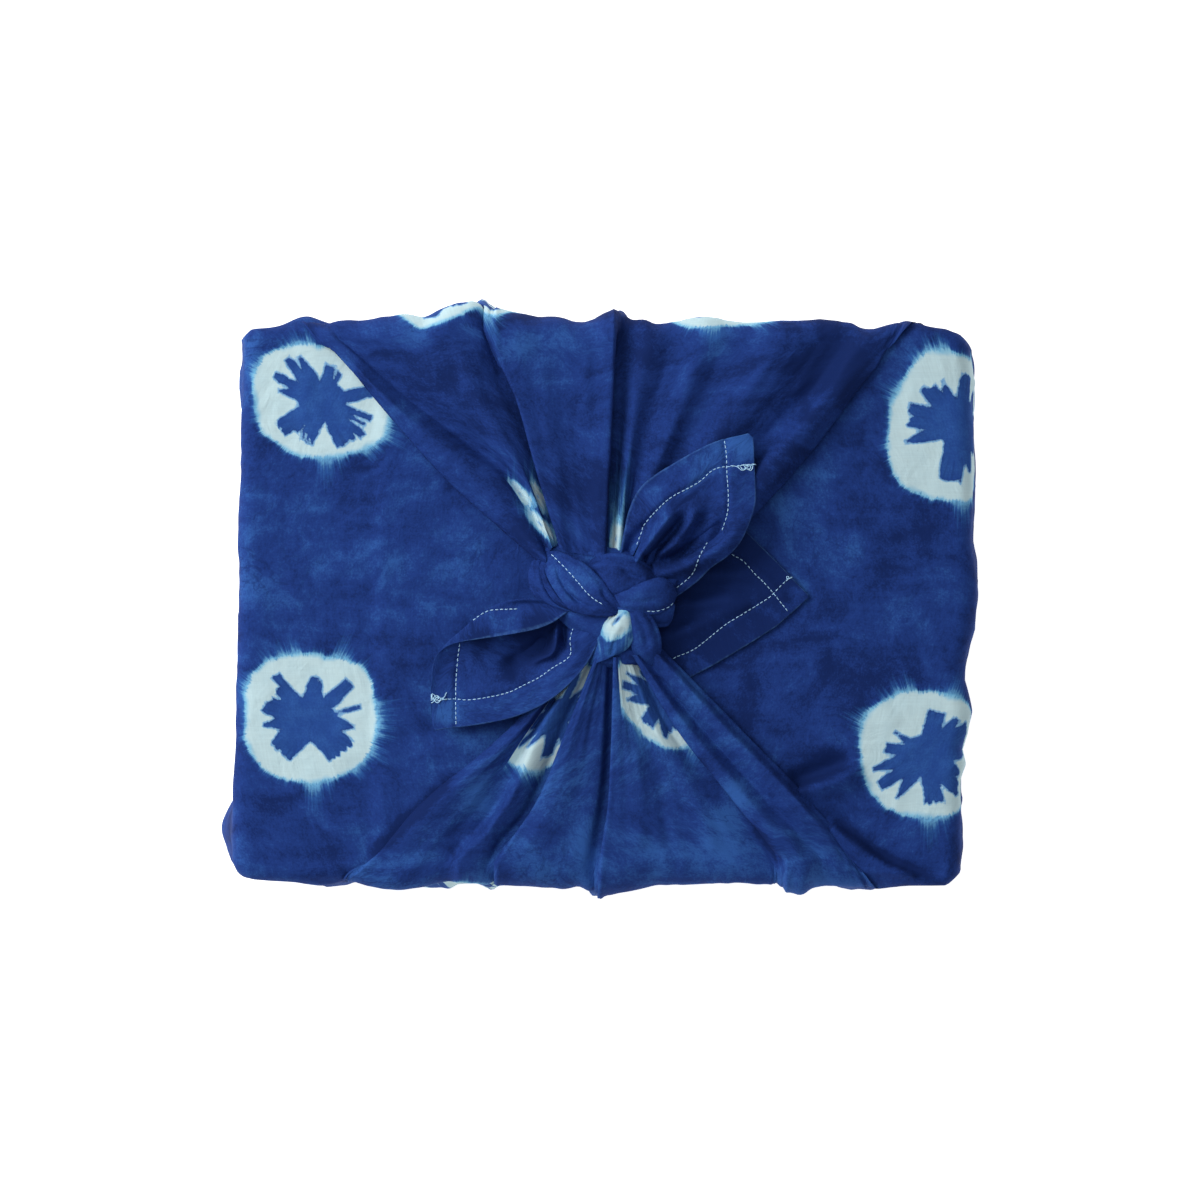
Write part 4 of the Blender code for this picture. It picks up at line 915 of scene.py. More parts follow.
def fan_piece(name, table, sign, outline, creases, marks, step=1.05):
    lines = fold_lines(table)
    paths = np.stack([fan_path(line, sign) for line in lines])              # lines x stations x 3
    at = np.array([line["at"] for line in lines])
    count = int(at[-1] / step)
    where = np.linspace(0.0, at[-1], count)
    stations = paths.shape[1]
    grid = pchip(at, paths.reshape(len(lines), -1), where).reshape(count, stations, 3)
    row_at = np.interp(where, at, [line["row"] for line in lines])
    # the rim follows the outline of the photographed folds
    rim = 47 - 1
    xs = np.arange(-130.0, 131.0, 1.0)
    top_y = np.full(len(xs), -1e9)
    for a, b in zip(grid[:-1, rim], grid[1:, rim]):
        for t in (0.0, 0.5):
            p = a + (b - a) * t
            k = int(round(p[0] + 130.0))
            if 0 <= k < len(xs):
                top_y[k] = max(top_y[k], sign * p[1])
    known = top_y > 0
    top_y = np.interp(xs, xs[known], top_y[known])
    delta = np.clip(sign * outline(xs) - top_y, -4.5, 6.0)
    delta = np.convolve(np.pad(delta, 2, mode="edge"), np.array([0.1, 0.2, 0.4, 0.2, 0.1]), mode="valid")
    shift = np.interp(grid[..., 0], xs, delta)
    height, depth = grid[..., 2], sign * grid[..., 1]
    lying = np.arange(stations)[None, :] >= stations - 85
    weight = np.where(lying, smooth(84.0, 108.0, depth), smooth(12.0, 72.0, height))
    grid[..., 1] += sign * shift * weight
    # creases, then unevenness that runs along the folds
    grid[..., 2] += relief(grid[..., :2], creases) * np.where(lying, smooth(111.0, 103.0, depth), 0.0)
    normal = grid_normals(grid)
    flip = np.where(((normal[..., 2] < 0) & lying) | ((sign * normal[..., 1] < 0) & ~lying), -1.0, 1.0)[..., None]
    run = np.concatenate([np.zeros((count, 1)), np.cumsum(np.linalg.norm(np.diff(grid, axis=1), axis=2), axis=1)], axis=1)
    wave = 0.30 * soft(where[:, None] / 6.0, run / 46.0, 4.0 + sign) + 0.16 * soft(where[:, None] / 2.9, run / 30.0, 8.0 + sign)
    wave += 0.30 * crumple(where[:, None] * 1.6, run, 21.0, 7.0 * sign) * np.where(lying, 0.7, 1.2)
    wave += 0.9 * soft.layers(where[:, None] / 30.0, run / 34.0, 2.0 * sign, 2) * np.where(lying, 0.0, smooth(2.0, 30.0, height) * smooth(94.0, 70.0, height))
    grid += normal * flip * wave[..., None] * smooth(0.0, 6.0, run)[..., None]
    # dye
    first = stations - 85
    over = np.where(lying, depth, depth[:, first:first + 1] + run[:, first:first + 1] - run)
    dye = Dye(np.stack([grid[..., 0], sign * over], axis=-1))
    for mark in marks:
        mask = np.broadcast_to(((row_at >= mark["rows"][0]) & (row_at <= mark["rows"][1]))[:, None], dye.ring.shape)
        dye.motif(mark["centre"], mark["kind"], mark["turn"], mark.get("scale", (1.0, 1.0)), mask)
    return cloth_piece(name, grid, dye, None, shift=(0.0, 900.0 * sign)), row_at


BACK_CREASES = (
    (-1.0, 3.0, 3.0, 0.2, 0.2, ((350, 352), (400, 397), (440, 427), (470, 447), (505, 478))),
    (0.9, 3.0, 4.0, 0.2, 0.1, ((640, 330), (632, 400), (625, 480), (618, 545))),
    (0.8, 3.0, 4.0, 0.2, 0.2, ((540, 330), (552, 420), (568, 520))),
    (-0.8, 3.0, 3.0, 0.2, 0.2, ((520, 330), (540, 420), (556, 500))),
    (0.7, 3.0, 3.0, 0.2, 0.2, ((586, 330), (588, 420), (594, 530))),
    (-0.9, 3.0, 3.0, 0.3, 0.2, ((835, 365), (810, 390), (790, 410), (765, 435), (735, 455))),
    (0.8, 3.0, 3.0, 0.3, 0.2, ((700, 340), (680, 400), (655, 470))),
    (-0.8, 3.0, 3.0, 0.3, 0.2, ((722, 340), (700, 400), (668, 460))),
    (0.8, 4.0, 3.0, 0.3, 0.2, ((780, 335), (740, 400), (700, 440))),
    (0.7, 2.5, 2.5, 0.3, 0.2, ((420, 330), (440, 390), (480, 440))),
    (-0.7, 2.5, 2.5, 0.3, 0.2, ((445, 330), (462, 390), (500, 455))),
)
FRONT_CREASES = (
    (0.9, 3.0, 3.0, 0.2, 0.2, ((455, 860), (480, 820), (520, 770))),
    (-1.2, 3.0, 3.0, 0.2, 0.2, ((440, 880), (470, 840), (510, 780))),
    (-1.0, 3.0, 3.0, 0.2, 0.2, ((500, 860), (530, 820), (545, 770), (555, 740))),
    (-1.0, 2.5, 2.5, 0.2, 0.2, ((630, 650), (650, 675), (680, 705), (700, 722), (740, 765), (765, 785))),
    (0.9, 3.0, 3.0, 0.2, 0.2, ((640, 860), (640, 800), (634, 740))),
    (-0.8, 3.0, 3.0, 0.2, 0.2, ((670, 870), (662, 800), (645, 740))),
    (0.8, 3.0, 3.0, 0.2, 0.2, ((720, 870), (700, 810), (670, 750))),
    (0.7, 3.0, 3.0, 0.3, 0.3, ((810, 850), (780, 810), (740, 775))),
)
BACK_MARKS = (
    dict(centre=(-64.0, 143.0), kind="wheel", turn=30.0, rows=(3.0, 13.0)),
    dict(centre=(49.0, 146.0), kind="fan", turn=200.0, rows=(17.0, 24.0)),
    dict(centre=plan((520, 494)), kind="plain", turn=-46.0, scale=(0.25, 0.095), rows=(3.4, 6.6)),
    dict(centre=plan((538, 497)), kind="plain", turn=-64.0, scale=(0.24, 0.085), rows=(6.4, 9.4)),
    dict(centre=plan((540, 524)), kind="plain", turn=-47.0, scale=(0.31, 0.08), rows=(2.2, 8.0)),
    dict(centre=plan((616, 539)), kind="plain", turn=84.0, scale=(0.31, 0.085), rows=(15.0, 17.8)),
)
FRONT_MARKS = (
    dict(centre=(-58.0, -157.0), kind="hand", turn=160.0, rows=(2.0, 12.0)),
    dict(centre=(62.0, -158.0), kind="wheel", turn=100.0, rows=(16.6, 26.0)),
    dict(centre=plan((556, 716)), kind="wheel", turn=56.0, scale=(0.92, 0.55), rows=(3.8, 8.8)),
    dict(centre=plan((663, 698)), kind="leaf", turn=-46.0, scale=(0.84, 0.62), rows=(17.0, 20.6)),
    dict(centre=plan((584, 678)), kind="plain", turn=45.0, scale=(0.13, 0.07), rows=(3.8, 8.8)),
)
cloth_back, _ = fan_piece("cloth_back", BACK, 1, y_back, BACK_CREASES, BACK_MARKS)
cloth_front, _ = fan_piece("cloth_front", FRONT, -1, y_front, FRONT_CREASES, FRONT_MARKS)


# -------------------------------------------------------------------- tails
def resample_rows(rows, count):
    """Rows of points made even along their length."""
    rows = np.asarray(rows, float)
    middle = rows[:, rows.shape[1] // 2]
    run = run_length(middle) + run_length(rows[:, 0]) + run_length(rows[:, -1])
    return spline(run, rows.reshape(len(rows), -1), np.linspace(0.0, run[-1], count)).reshape(count, *rows.shape[1:])


def turn_under(grid, ends, width=HEM, thick=1.0):
    """Adds the turned-under hem along the chosen sides of a grid."""
    steps = ((0.34, 0.12), (0.5, 0.5), (0.34, 0.9), (-0.4, 1.05)) + tuple((-width * k / 6.0, 1.1) for k in range(1, 7))
    for end in ends:
        g = grid if end in ("first", "last") else np.swapaxes(grid, 0, 1)
        if end in ("last", "bottom"):
            g = g[:, ::-1]
        normal = grid_normals(g)
        up = np.where(normal[..., 2:3] < 0, -1.0, 1.0)
        normal = normal * up
        out = g[:, 0] - g[:, 2]
        out /= np.maximum(np.linalg.norm(out, axis=1, keepdims=True), 1e-6)
        length = np.concatenate([np.zeros((g.shape[0], 1)), np.cumsum(np.linalg.norm(np.diff(g, axis=1), axis=2), axis=1)], axis=1)
        extra = []
        for o, n in steps:
            if o >= -0.5:
                extra.append(g[:, 0] + out * o - normal[:, 1] * n * thick)
                continue
            line = np.empty((g.shape[0], 3))
            for i in range(g.shape[0]):
                s = min(-o, 0.42 * length[i, -1])
                line[i] = [np.interp(s, length[i], g[i, :, c]) for c in range(3)]
            extra.append(line - normal[:, 2] * n * thick)
        g = np.concatenate([np.stack(extra[::-1], axis=1), g], axis=1)
        if end in ("last", "bottom"):
            g = g[:, ::-1]
        grid = g if end in ("first", "last") else np.swapaxes(g, 0, 1)
    return grid


def with_height(points, heights):
    return np.concatenate([plan(points), np.asarray(heights, float)[..., None]], axis=-1)


# upper right tail: a row across it from its left edge to its right edge
TAIL_UP = (
    # left point   right point  left z  right z
    ((606, 582), (664, 604), 103.0, 105.0),
    ((616, 566), (682, 592), 107.5, 108.5),
    ((622, 552), (694, 583), 112.0, 111.0),
    ((625, 532), (710, 568), 114.5, 113.0),
    ((630, 510), (727, 556), 114.0, 113.0),
    ((640, 490), (739, 543), 113.5, 112.5),
    ((656, 476), (748, 524), 113.0, 111.5),
    ((677, 463), (754, 503), 112.5, 111.0),
    ((700, 450), (754, 481), 112.0, 110.5),
    ((721, 441), (753, 461), 111.0, 110.0),
    ((738, 437), (752.6, 447), 110.2, 109.6),
    ((748.5, 434.6), (752, 438), 109.6, 109.4),
)
TAIL_UP_FOLDS = (
    (-1.6, 3.0, 5.0, 0.0, 0.0, ((625, 560), (624, 536), (628, 516), (640, 492), (660, 476), (690, 457), (722, 441))),
    (1.2, 3.5, 3.5, 0.1, 0.3, ((640, 545), (646, 520), (662, 500), (690, 482), (716, 466))),
    (-3.6, 2.4, 2.4, 0.0, 0.4, ((628, 556), (631.5, 544), (641, 530), (652, 518))),
    (6.6, 2.3, 2.3, 0.0, 0.28, ((632, 568), (652, 539), (666, 521), (678, 506))),
    (-5.6, 1.8, 2.0, 0.05, 0.35, ((641, 566), (661, 544), (678, 524), (690, 509))),
    (5.4, 2.4, 2.8, 0.05, 0.3, ((648, 565), (674, 545), (692, 522), (700, 507))),
    (-5.2, 3.2, 4.2, 0.2, 0.35, ((678, 546), (700, 522), (716, 508))),
    (-7.4, 2.6, 3.2, 0.05, 0.25, ((641, 563), (672, 557), (699, 543.5), (716, 531), (728, 514))),
    (4.8, 4.6, 4.0, 0.0, 0.35, ((655, 577), (688, 565), (722, 545), (742, 520), (750, 498))),
    (-2.0, 2.2, 2.2, 0.1, 0.3, ((664, 584), (690, 575), (706, 562))),
    (1.0, 3.0, 4.0, 0.3, 0.2, ((722, 520), (728, 490), (728, 462))),
    (-0.8, 1.0, 1.0, 0.0, 0.0, ((724, 440.5), (726.4, 473.6), (727.7, 495), (727, 513), (721.4, 532.5), (703.6, 548.6), (693, 572), (676, 588))),
    (-0.8, 1.0, 1.0, 0.0, 0.0, ((755, 464.6), (719.6, 468), (710.7, 471.8), (689, 488), (671, 497.7), (648, 520), (641, 534), (636, 547))),
)
# lower left tail: hem end, fold top, pocket, floor, lower edge
TAIL_LOW = (
    (((574, 608), 113.0), ((570, 600), 111.0), ((572, 614), 107.0), ((588, 620), 111.0), ((612, 606), 114.0)),
    (((566, 613), 114.0), ((556, 601), 112.0), ((563, 620), 106.5), ((578, 632), 110.5), ((607, 615), 114.0)),
    (((554, 621.5), 114.0), ((543, 599), 112.0), ((552, 629), 102.6), ((570, 645), 110.0), ((603, 628), 113.5)),
    (((540, 627.7), 113.6), ((523.5, 598.5), 111.5), ((537, 637), 101.9), ((559, 660), 109.0), ((597, 643), 113.0)),
    (((519, 632.6), 113.0), ((500, 603), 111.0), ((517, 644), 102.4), ((540, 674), 108.6), ((585, 665), 112.2)),
    (((498, 636), 112.0), ((481, 613), 110.4), ((497, 648), 103.4), ((518, 686), 108.0), ((565, 687), 111.2)),
    (((478.6, 639), 111.0), ((463, 629), 109.6), ((478, 650), 105.4), ((496, 696), 107.6), ((538, 706), 110.2)),
    (((461, 641.7), 110.0), ((449, 641), 109.0), ((462, 654), 105.6), ((474, 700), 107.2), ((509, 717.5), 109.0)),
    (((448, 646), 109.2), ((440, 652), 108.4), ((450, 664), 105.8), ((460, 702), 107.0), ((485, 722.5), 108.0)),
    (((438, 654), 108.4), ((434.5, 664), 107.8), ((442, 680), 106.2), ((450, 706), 106.8), ((466, 725.2), 107.4)),
    (((432.6, 668), 107.6), ((432.6, 680), 107.3), ((437, 695), 106.6), ((441, 712), 106.8), ((451, 727), 107.0)),
    (((431.4, 695), 107.2), ((432, 702), 107.0), ((434, 711), 106.9), ((437, 719), 106.9), ((442, 728.2), 106.9)),
    (((432, 719), 106.9), ((432.4, 721.5), 106.9), ((433, 724), 106.9), ((434, 726.6), 106.9), ((435.4, 729.2), 106.9)),
)
TAIL_LOW_FOLDS = (
    (6.4, 1.7, 1.9, 0.0, 0.4, ((556, 618), (556, 640), (551.5, 653), (538, 659), (522, 667))),
    (-4.8, 1.5, 1.6, 0.0, 0.3, ((562, 616), (565, 630), (566, 643), (563, 655))),
    (2.6, 2.6, 2.6, 0.0, 0.3, ((574, 618), (571, 640), (574, 656))),
    (-4.4, 4.2, 3.6, 0.2, 0.35, ((549, 632), (538, 648), (518, 658), (500, 674))),
    (-1.4, 3.0, 3.0, 0.1, 0.3, ((520, 645), (490, 650), (468, 656))),
    (1.3, 5.0, 5.0, 0.3, 0.3, ((520, 674), (495, 686), (468, 690))),
    (1.4, 3.5, 4.0, 0.1, 0.2, ((588, 626), (582, 648), (566, 670), (540, 691))),
    (-0.8, 1.0, 1.0, 0.0, 0.0, ((447.7, 699), (467, 699.7), (498, 695), (526, 684), (554, 667), (565.6, 660), (571, 653), (570.5, 640), (578, 620.7))),
    (-0.8, 1.0, 1.0, 0.0, 0.0, ((460, 641.7), (457.5, 664), (456, 692), (456.4, 726.6))),
)


def tail_worn(shape, hem_cols, strength):
    worn = np.zeros(shape)
    worn[hem_cols - 3: hem_cols + 2] = strength
    return worn


def tail_up_piece():
    rows = []
    for left, right, z_left, z_right in TAIL_UP:
        share = np.linspace(0.0, 1.0, 9)[:, None]
        points = np.asarray(left, float) + (np.asarray(right, float) - np.asarray(left, float)) * share
        rows.append(with_height(points, z_left + (z_right - z_left) * share[:, 0]))
    grid = resample_rows(rows, 118)
    cols = np.linspace(0, 8, 76)
    grid = np.stack([spline(np.arange(9), g, cols) for g in grid])
    near_knot = smooth(0.0, 0.12, np.linspace(0, 1, 118))[:, None]
    grid[..., 2] += relief(grid[..., :2], TAIL_UP_FOLDS) * near_knot
    u, v = grid[..., 0], grid[..., 1]
    grid[..., 2] += 0.30 * crumple(u, v, 11.0, 3.3) + 0.35 * soft(u / 14.0, v / 14.0, 6.0)
    grid = turn_under(grid, ("first", "last"))
    worn = np.zeros(grid.shape[:2])
    for c in (7, 8, 9, 10):
        worn[:, c] = worn[:, -1 - c] = 0.4
    return cloth_piece("tail_back", grid, None, worn, shift=(400.0, 60.0))


def tail_low_piece():
    rows = [with_height([p for p, _ in row], [z for _, z in row]) for row in TAIL_LOW]
    grid = resample_rows(rows, 132)
    stops = np.array([0.0, 1.2, 2.4, 4.2, 6.0])
    grid = np.stack([pchip(stops, g, np.linspace(0.0, 6.0, 90)) for g in grid])
    lower = smooth(26.0, 40.0, np.arange(90))[None, :]
    grid[..., 2] += relief(grid[..., :2], TAIL_LOW_FOLDS) * lower * smooth(0.0, 0.1, np.linspace(0, 1, 132))[:, None]
    strip = ((1.3, 1.6, 2.2, 0.1, 0.35, ((572, 602), (540, 600), (512, 600), (492, 606))), (-1.6, 1.0, 1.4, 0.0, 0.35, ((574, 607), (545, 604), (515, 604.5), (498, 607))),
             (-0.7, 0.8, 0.8, 0.0, 0.0, ((473, 620.7), (484, 613), (492.6, 610), (509.4, 609.2), (521, 608.6))))
    grid[..., 2] += relief(grid[..., :2], strip) * smooth(30.0, 26.0, np.arange(90))[None, :]
    u, v = grid[..., 0], grid[..., 1]
    grid[..., 2] += 0.28 * crumple(u, v, 12.0, 9.3) * lower + 0.30 * soft(u / 14.0, v / 14.0, 2.0) * lower
    grid = turn_under(grid, ("last",))
    worn = np.zeros(grid.shape[:2])
    worn[:, :2] = 0.45
    for c in (7, 8, 9, 10):
        worn[:, -1 - c] = 0.4
    return cloth_piece("tail_front", grid, None, worn, shift=(700.0, 60.0))


tail_back = tail_up_piece()
tail_front = tail_low_piece()


# --------------------------------------------------------------------- knot
# Each strand: plan points down both its edges, their heights, its fullness.
STRANDS = {
    "knot_over": dict(
        left=((542, 552), (545.5, 563), (552, 579), (562, 595), (573, 607), (590, 612.5), (610, 613), (624, 611.5)),
        right=((544, 550.5), (557, 553.4), (571.4, 560), (585.4, 568.5), (595.5, 578), (604, 587), (613, 599), (625.5, 609.5)),
        z_left=(106, 110.5, 115, 117.5, 118.5, 119, 118.8, 117.5), z_right=(106.5, 111.5, 115.5, 118, 119.3, 119.6, 119.4, 118),
        bulge=0.8, folds=((-1.5, 0.9, 0.9, 0.3, 0.2, ((556, 562), (560, 578), (570, 594), (584, 606))), (-0.9, 0.8, 0.8, 0.3, 0.2, ((566, 590), (578, 601), (596, 609))), (-1.3, 0.8, 0.8, 0.2, 0.0, ((600, 588), (608, 601), (621, 610.5))),
                          (-0.9, 0.8, 0.8, 0.3, 0.0, ((596, 598), (607, 606), (619, 611))),
                          (0.9, 1.6, 1.6, 0.1, 0.2, ((560, 557), (578, 567), (592, 580), (604, 596))),
                          (-0.7, 0.8, 0.8, 0.0, 0.2, ((551, 554), (560, 562.6), (568.6, 571.7), (577, 581), (585.4, 591), (594, 599), (604, 605))))),
    "knot_left_outer": dict(
        left=((540, 553), (534, 563), (531.5, 574), (532.5, 586), (538, 597), (548, 605), (562, 611)),
        right=((542, 552), (540, 563), (541, 576), (546, 589), (553, 600), (562, 607), (572, 611)),
        z_left=(104, 107, 109, 110.5, 111.5, 112, 112.5), z_right=(105, 109, 111.5, 112.5, 113.5, 114, 114.5), bulge=1.7, folds=()),
    "knot_left_inner": dict(
        left=((541, 553), (541, 565), (543, 578), (549, 591), (557, 602), (568, 609), (578, 613)),
        right=((543, 552), (547, 564), (553, 578), (562, 596), (571, 606), (580, 611), (590, 614)),
        z_left=(105, 109.5, 112, 113.5, 114.5, 115, 115), z_right=(106, 111, 114, 115.5, 116.2, 116.5, 116.5), bulge=1.0, folds=((-1.2, 0.7, 0.7, 0.1, 0.1, ((545, 566), (549, 579), (557, 592), (566, 603), (576, 610))),)),
    "knot_arch": dict(
        left=((584, 572), (596, 580), (606, 590), (614, 596), (630, 593), (645, 587), (654, 583), (660, 580)),
        right=((583, 568), (593, 562.5), (605, 557.7), (618, 556.4), (632, 559.5), (644, 565.5), (653, 572), (661, 579)),
        z_left=(110, 114, 117, 118, 117.5, 116.5, 114, 111), z_right=(109, 112, 114, 115, 115, 114, 112, 110), bulge=3.0,
        folds=((0.9, 2.0, 2.4, 0.3, 0.3, ((592, 566), (612, 566), (634, 568), (650, 576))),
               (-1.1, 1.0, 1.2, 0.2, 0.2, ((620, 570), (632, 576), (644, 580))),)),
    "knot_right": dict(
        left=((612, 601), (622, 608), (635, 609.5), (648, 611), (659, 610.5), (669, 606), (675, 600)),
        right=((609, 592), (626, 590), (644, 584.5), (655, 581.4), (664, 582), (671.5, 588), (676.5, 596)),
        z_left=(117, 118.5, 119, 118, 116.5, 114, 112), z_right=(117, 119, 120, 119.5, 118, 115.5, 112.5), bulge=1.5,
        folds=((-0.6, 1.2, 1.2, 0.2, 0.3, ((616, 600), (640, 602), (664, 598))),
               (-0.6, 0.8, 0.8, 0.0, 0.0, ((646, 611), (656, 611), (668, 607), (674, 601))))),
    "knot_right_under": dict(
        left=((632, 610), (640, 616), (649, 621), (658.6, 624), (668, 622.5), (673, 616)),
        right=((634, 606), (645, 606), (656, 606), (665, 606), (671, 606), (674.5, 608)),
        z_left=(113, 112, 111, 109.5, 108.5, 108), z_right=(115, 115, 114, 113, 111.5, 110), bulge=1.8, folds=()),
    "knot_down": dict(
        left=((627, 607), (629.5, 618), (631.5, 630), (633.6, 643), (638, 655), (645, 663), (650, 667)),
        right=((634, 606), (644, 612.5), (651.5, 623), (656.5, 635), (658, 648), (656, 659), (652.5, 667)),
        z_left=(117.5, 117, 115.5, 113.5, 111, 108.5, 107), z_right=(118, 117.5, 115.5, 113.5, 111.5, 109, 107), bulge=2.2,
        folds=((-0.6, 1.4, 1.4, 0.2, 0.3, ((634, 612), (644, 630), (648, 652))),)),
    "knot_middle": dict(
        left=((619, 609), (611, 617), (605, 626), (601, 636), (598, 646), (595.5, 655), (593, 664)),
        right=((629, 609), (630.5, 617), (631, 625), (632, 632), (630, 640), (623, 650), (612, 657)),
        z_left=(117, 116, 115, 114, 113, 112, 110.5), z_right=(118, 117.5, 116.5, 115.5, 114.5, 113.5, 112.5), bulge=1.8,
        folds=((-1.0, 1.0, 1.2, 0.1, 0.2, ((618, 619), (612, 626))), (0.8, 1.6, 1.6, 0.2, 0.2, ((622, 622), (614, 636), (610, 652))),
               (-0.8, 1.0, 1.0, 0.2, 0.1, ((614, 640), (612, 650), (612, 656))))),
}
PALE_PATCH = dict(centre=(616, 625), kind="blot", turn=50.0, scale=(0.26, 0.19), below=(612, 643), below_wide=7.5, below_high=5.0)


def strand_piece(name, spec, count=64, across=34, seed=0.0):
    """A gathered strand: a full band whose edges roll under."""
    left = with_height(spec["left"], spec["z_left"])
    right = with_height(spec["right"], spec["z_right"])
    stops = np.arange(len(left))
    at = np.linspace(0, len(left) - 1, count)
    left, right = spline(stops, left, at), spline(stops, right, at)
    share = np.linspace(0.0, 1.0, across)[None, :, None]
    grid = left[:, None] + (right - left)[:, None] * share
    s = np.linspace(0.0, 1.0, across)
    full = (1.0 - np.abs(2 * s - 1.0) ** 3.4)[None, :]
    width = np.linalg.norm(right - left, axis=1)[:, None]
    grid[..., 2] += spec["bulge"] * full * np.minimum(1.0, width / 9.0)
    grid[..., 2] += relief(grid[..., :2], spec["folds"])
    grid[..., 2] += 0.20 * soft(grid[..., 0] / 5.0, grid[..., 1] / 5.0, seed) + 0.12 * crumple(grid[..., 0], grid[..., 1], 8.0, seed)
    out_l = left - right
    out_l[:, 2] = 0.0
    out_l /= np.maximum(np.linalg.norm(out_l, axis=1, keepdims=True), 1e-6)
    rolls = []
    for edge, out in ((grid[:, 0], out_l), (grid[:, -1], -out_l)):
        cols = []
        radius = np.minimum(1.6, width[:, 0] * 0.2 + 0.4)[:, None]
        for degrees in (22, 45, 70, 95, 125, 155):
            a = math.radians(degrees)
            cols.append(edge + out * radius * math.sin(a) - np.array([0, 0, 1.0]) * radius * (1 - math.cos(a)))
        for k in (1, 2, 3):
            cols.append(edge - out * np.minimum(1.5 * k, width * 0.1 * k) - np.array([0, 0, 1.0]) * (2 * radius + 1.3 * k))
        rolls.append(np.stack(cols, axis=1))
    grid = np.concatenate([rolls[0][:, ::-1], grid, rolls[1]], axis=1)
    dye = Dye(grid[..., :2])
    if name == "knot_middle":
        dye.motif(plan(PALE_PATCH["centre"]), PALE_PATCH["kind"], PALE_PATCH["turn"], PALE_PATCH["scale"])
        away = (grid[..., :2] - plan(PALE_PATCH["below"])) / (PALE_PATCH["below_wide"], PALE_PATCH["below_high"])
        below = (1.0 - np.hypot(away[..., 0], away[..., 1])) * PALE_PATCH["below_high"]
        dye.ring = np.where(dye.ring > 0.0, dye.ring * 0.5, dye.ring)
        dye.ring = np.maximum(dye.ring, np.maximum(np.minimum(below, 0.0) * 0.7 - 1.3, -20.0))
        dye.owner[:] = 0
    return cloth_piece(name, grid, dye, None, shift=(1100.0 + 90.0 * seed, 30.0 * seed))


knot = [strand_piece(name, spec, seed=float(k)) for k, (name, spec) in enumerate(STRANDS.items())]

# packed cloth inside the knot, seen only between the strands
CORE = {
    "knot_neck_back": ((-25.0, 20.0, 104.5, 4.5, 3.0), (-18.0, 21.5, 105.5, 5.0, 4.0), (-6.0, 20.0, 106.5, 5.5, 4.8),
                       (8.0, 18.5, 106.5, 5.5, 4.8), (19.0, 14.5, 106.0, 5.0, 4.2), (27.0, 6.5, 104.5, 4.5, 3.2)),
    "knot_neck_front": ((-12.0, -18.5, 104.5, 4.5, 3.0), (-5.0, -20.5, 106.0, 5.0, 4.2), (5.0, -21.0, 107.0, 5.5, 4.8),
                        (15.0, -20.0, 106.5, 5.5, 4.4), (24.0, -16.5, 105.0, 4.5, 3.0)),
    "knot_core": ((-22.0, 10.0, 106.5, 8.0, 3.8), (-8.0, 4.5, 109.0, 15.0, 6.2), (8.0, -3.0, 109.5, 16.0, 6.2),
                  (21.0, -8.0, 107.0, 9.0, 4.2)),
}


def core_piece(name, rows, count=40, around=40, seed=0.0):
    """Closed lobe of packed cloth with lengthwise creases."""
    rows = np.asarray(rows, float)
    at = spline(np.arange(len(rows)), rows, np.linspace(0, len(rows) - 1, count))
    grid = np.zeros((count, around + 1, 3))
    for i in range(count):
        ahead = at[min(i + 1, count - 1), :3] - at[max(i - 1, 0), :3]
        ahead /= np.linalg.norm(ahead)
        wide = np.cross(ahead, (0, 0, 1.0))
        wide /= np.linalg.norm(wide)
        high = np.cross(wide, ahead)
        close = math.sqrt(max(0.02, 1.0 - (2.0 * i / (count - 1) - 1.0) ** 8))
        for j in range(around + 1):
            a = 2 * math.pi * j / around
            crease = 1.0 - 0.10 * (0.5 + 0.5 * math.cos(7 * a + i * 0.12 + seed))
            grid[i, j] = at[i, :3] + close * crease * (wide * at[i, 3] * math.cos(a) + high * at[i, 4] * math.sin(a))
    return cloth_piece(name, grid, None, None, shift=(1500.0 + 50.0 * seed, 0.0))


core = [core_piece(name, rows, seed=float(k)) for k, (name, rows) in enumerate(CORE.items())]


# ------------------------------------------------------- stitches and threads
def tree_of(*objects):
    verts, polys = [], []
    for obj in objects:
        base = len(verts)
        verts += [v.co.copy() for v in obj.data.vertices]
        polys += [[base + k for k in p.vertices] for p in obj.data.polygons]
    return BVHTree.FromPolygons(verts, polys)


def on_cloth(tree, xy, lift=0.0):
    """Point on the cloth straight below a plan position, in millimetres."""
    hit, normal, _, _ = tree.ray_cast(Vector((xy[0] * MM, xy[1] * MM, 0.3)), Vector((0, 0, -1)))
    if hit is None:
        return None, None
    if normal.z < 0:
        normal = -normal
    point = np.array(hit) / MM + np.array(normal) * lift
    return point, np.array(normal)


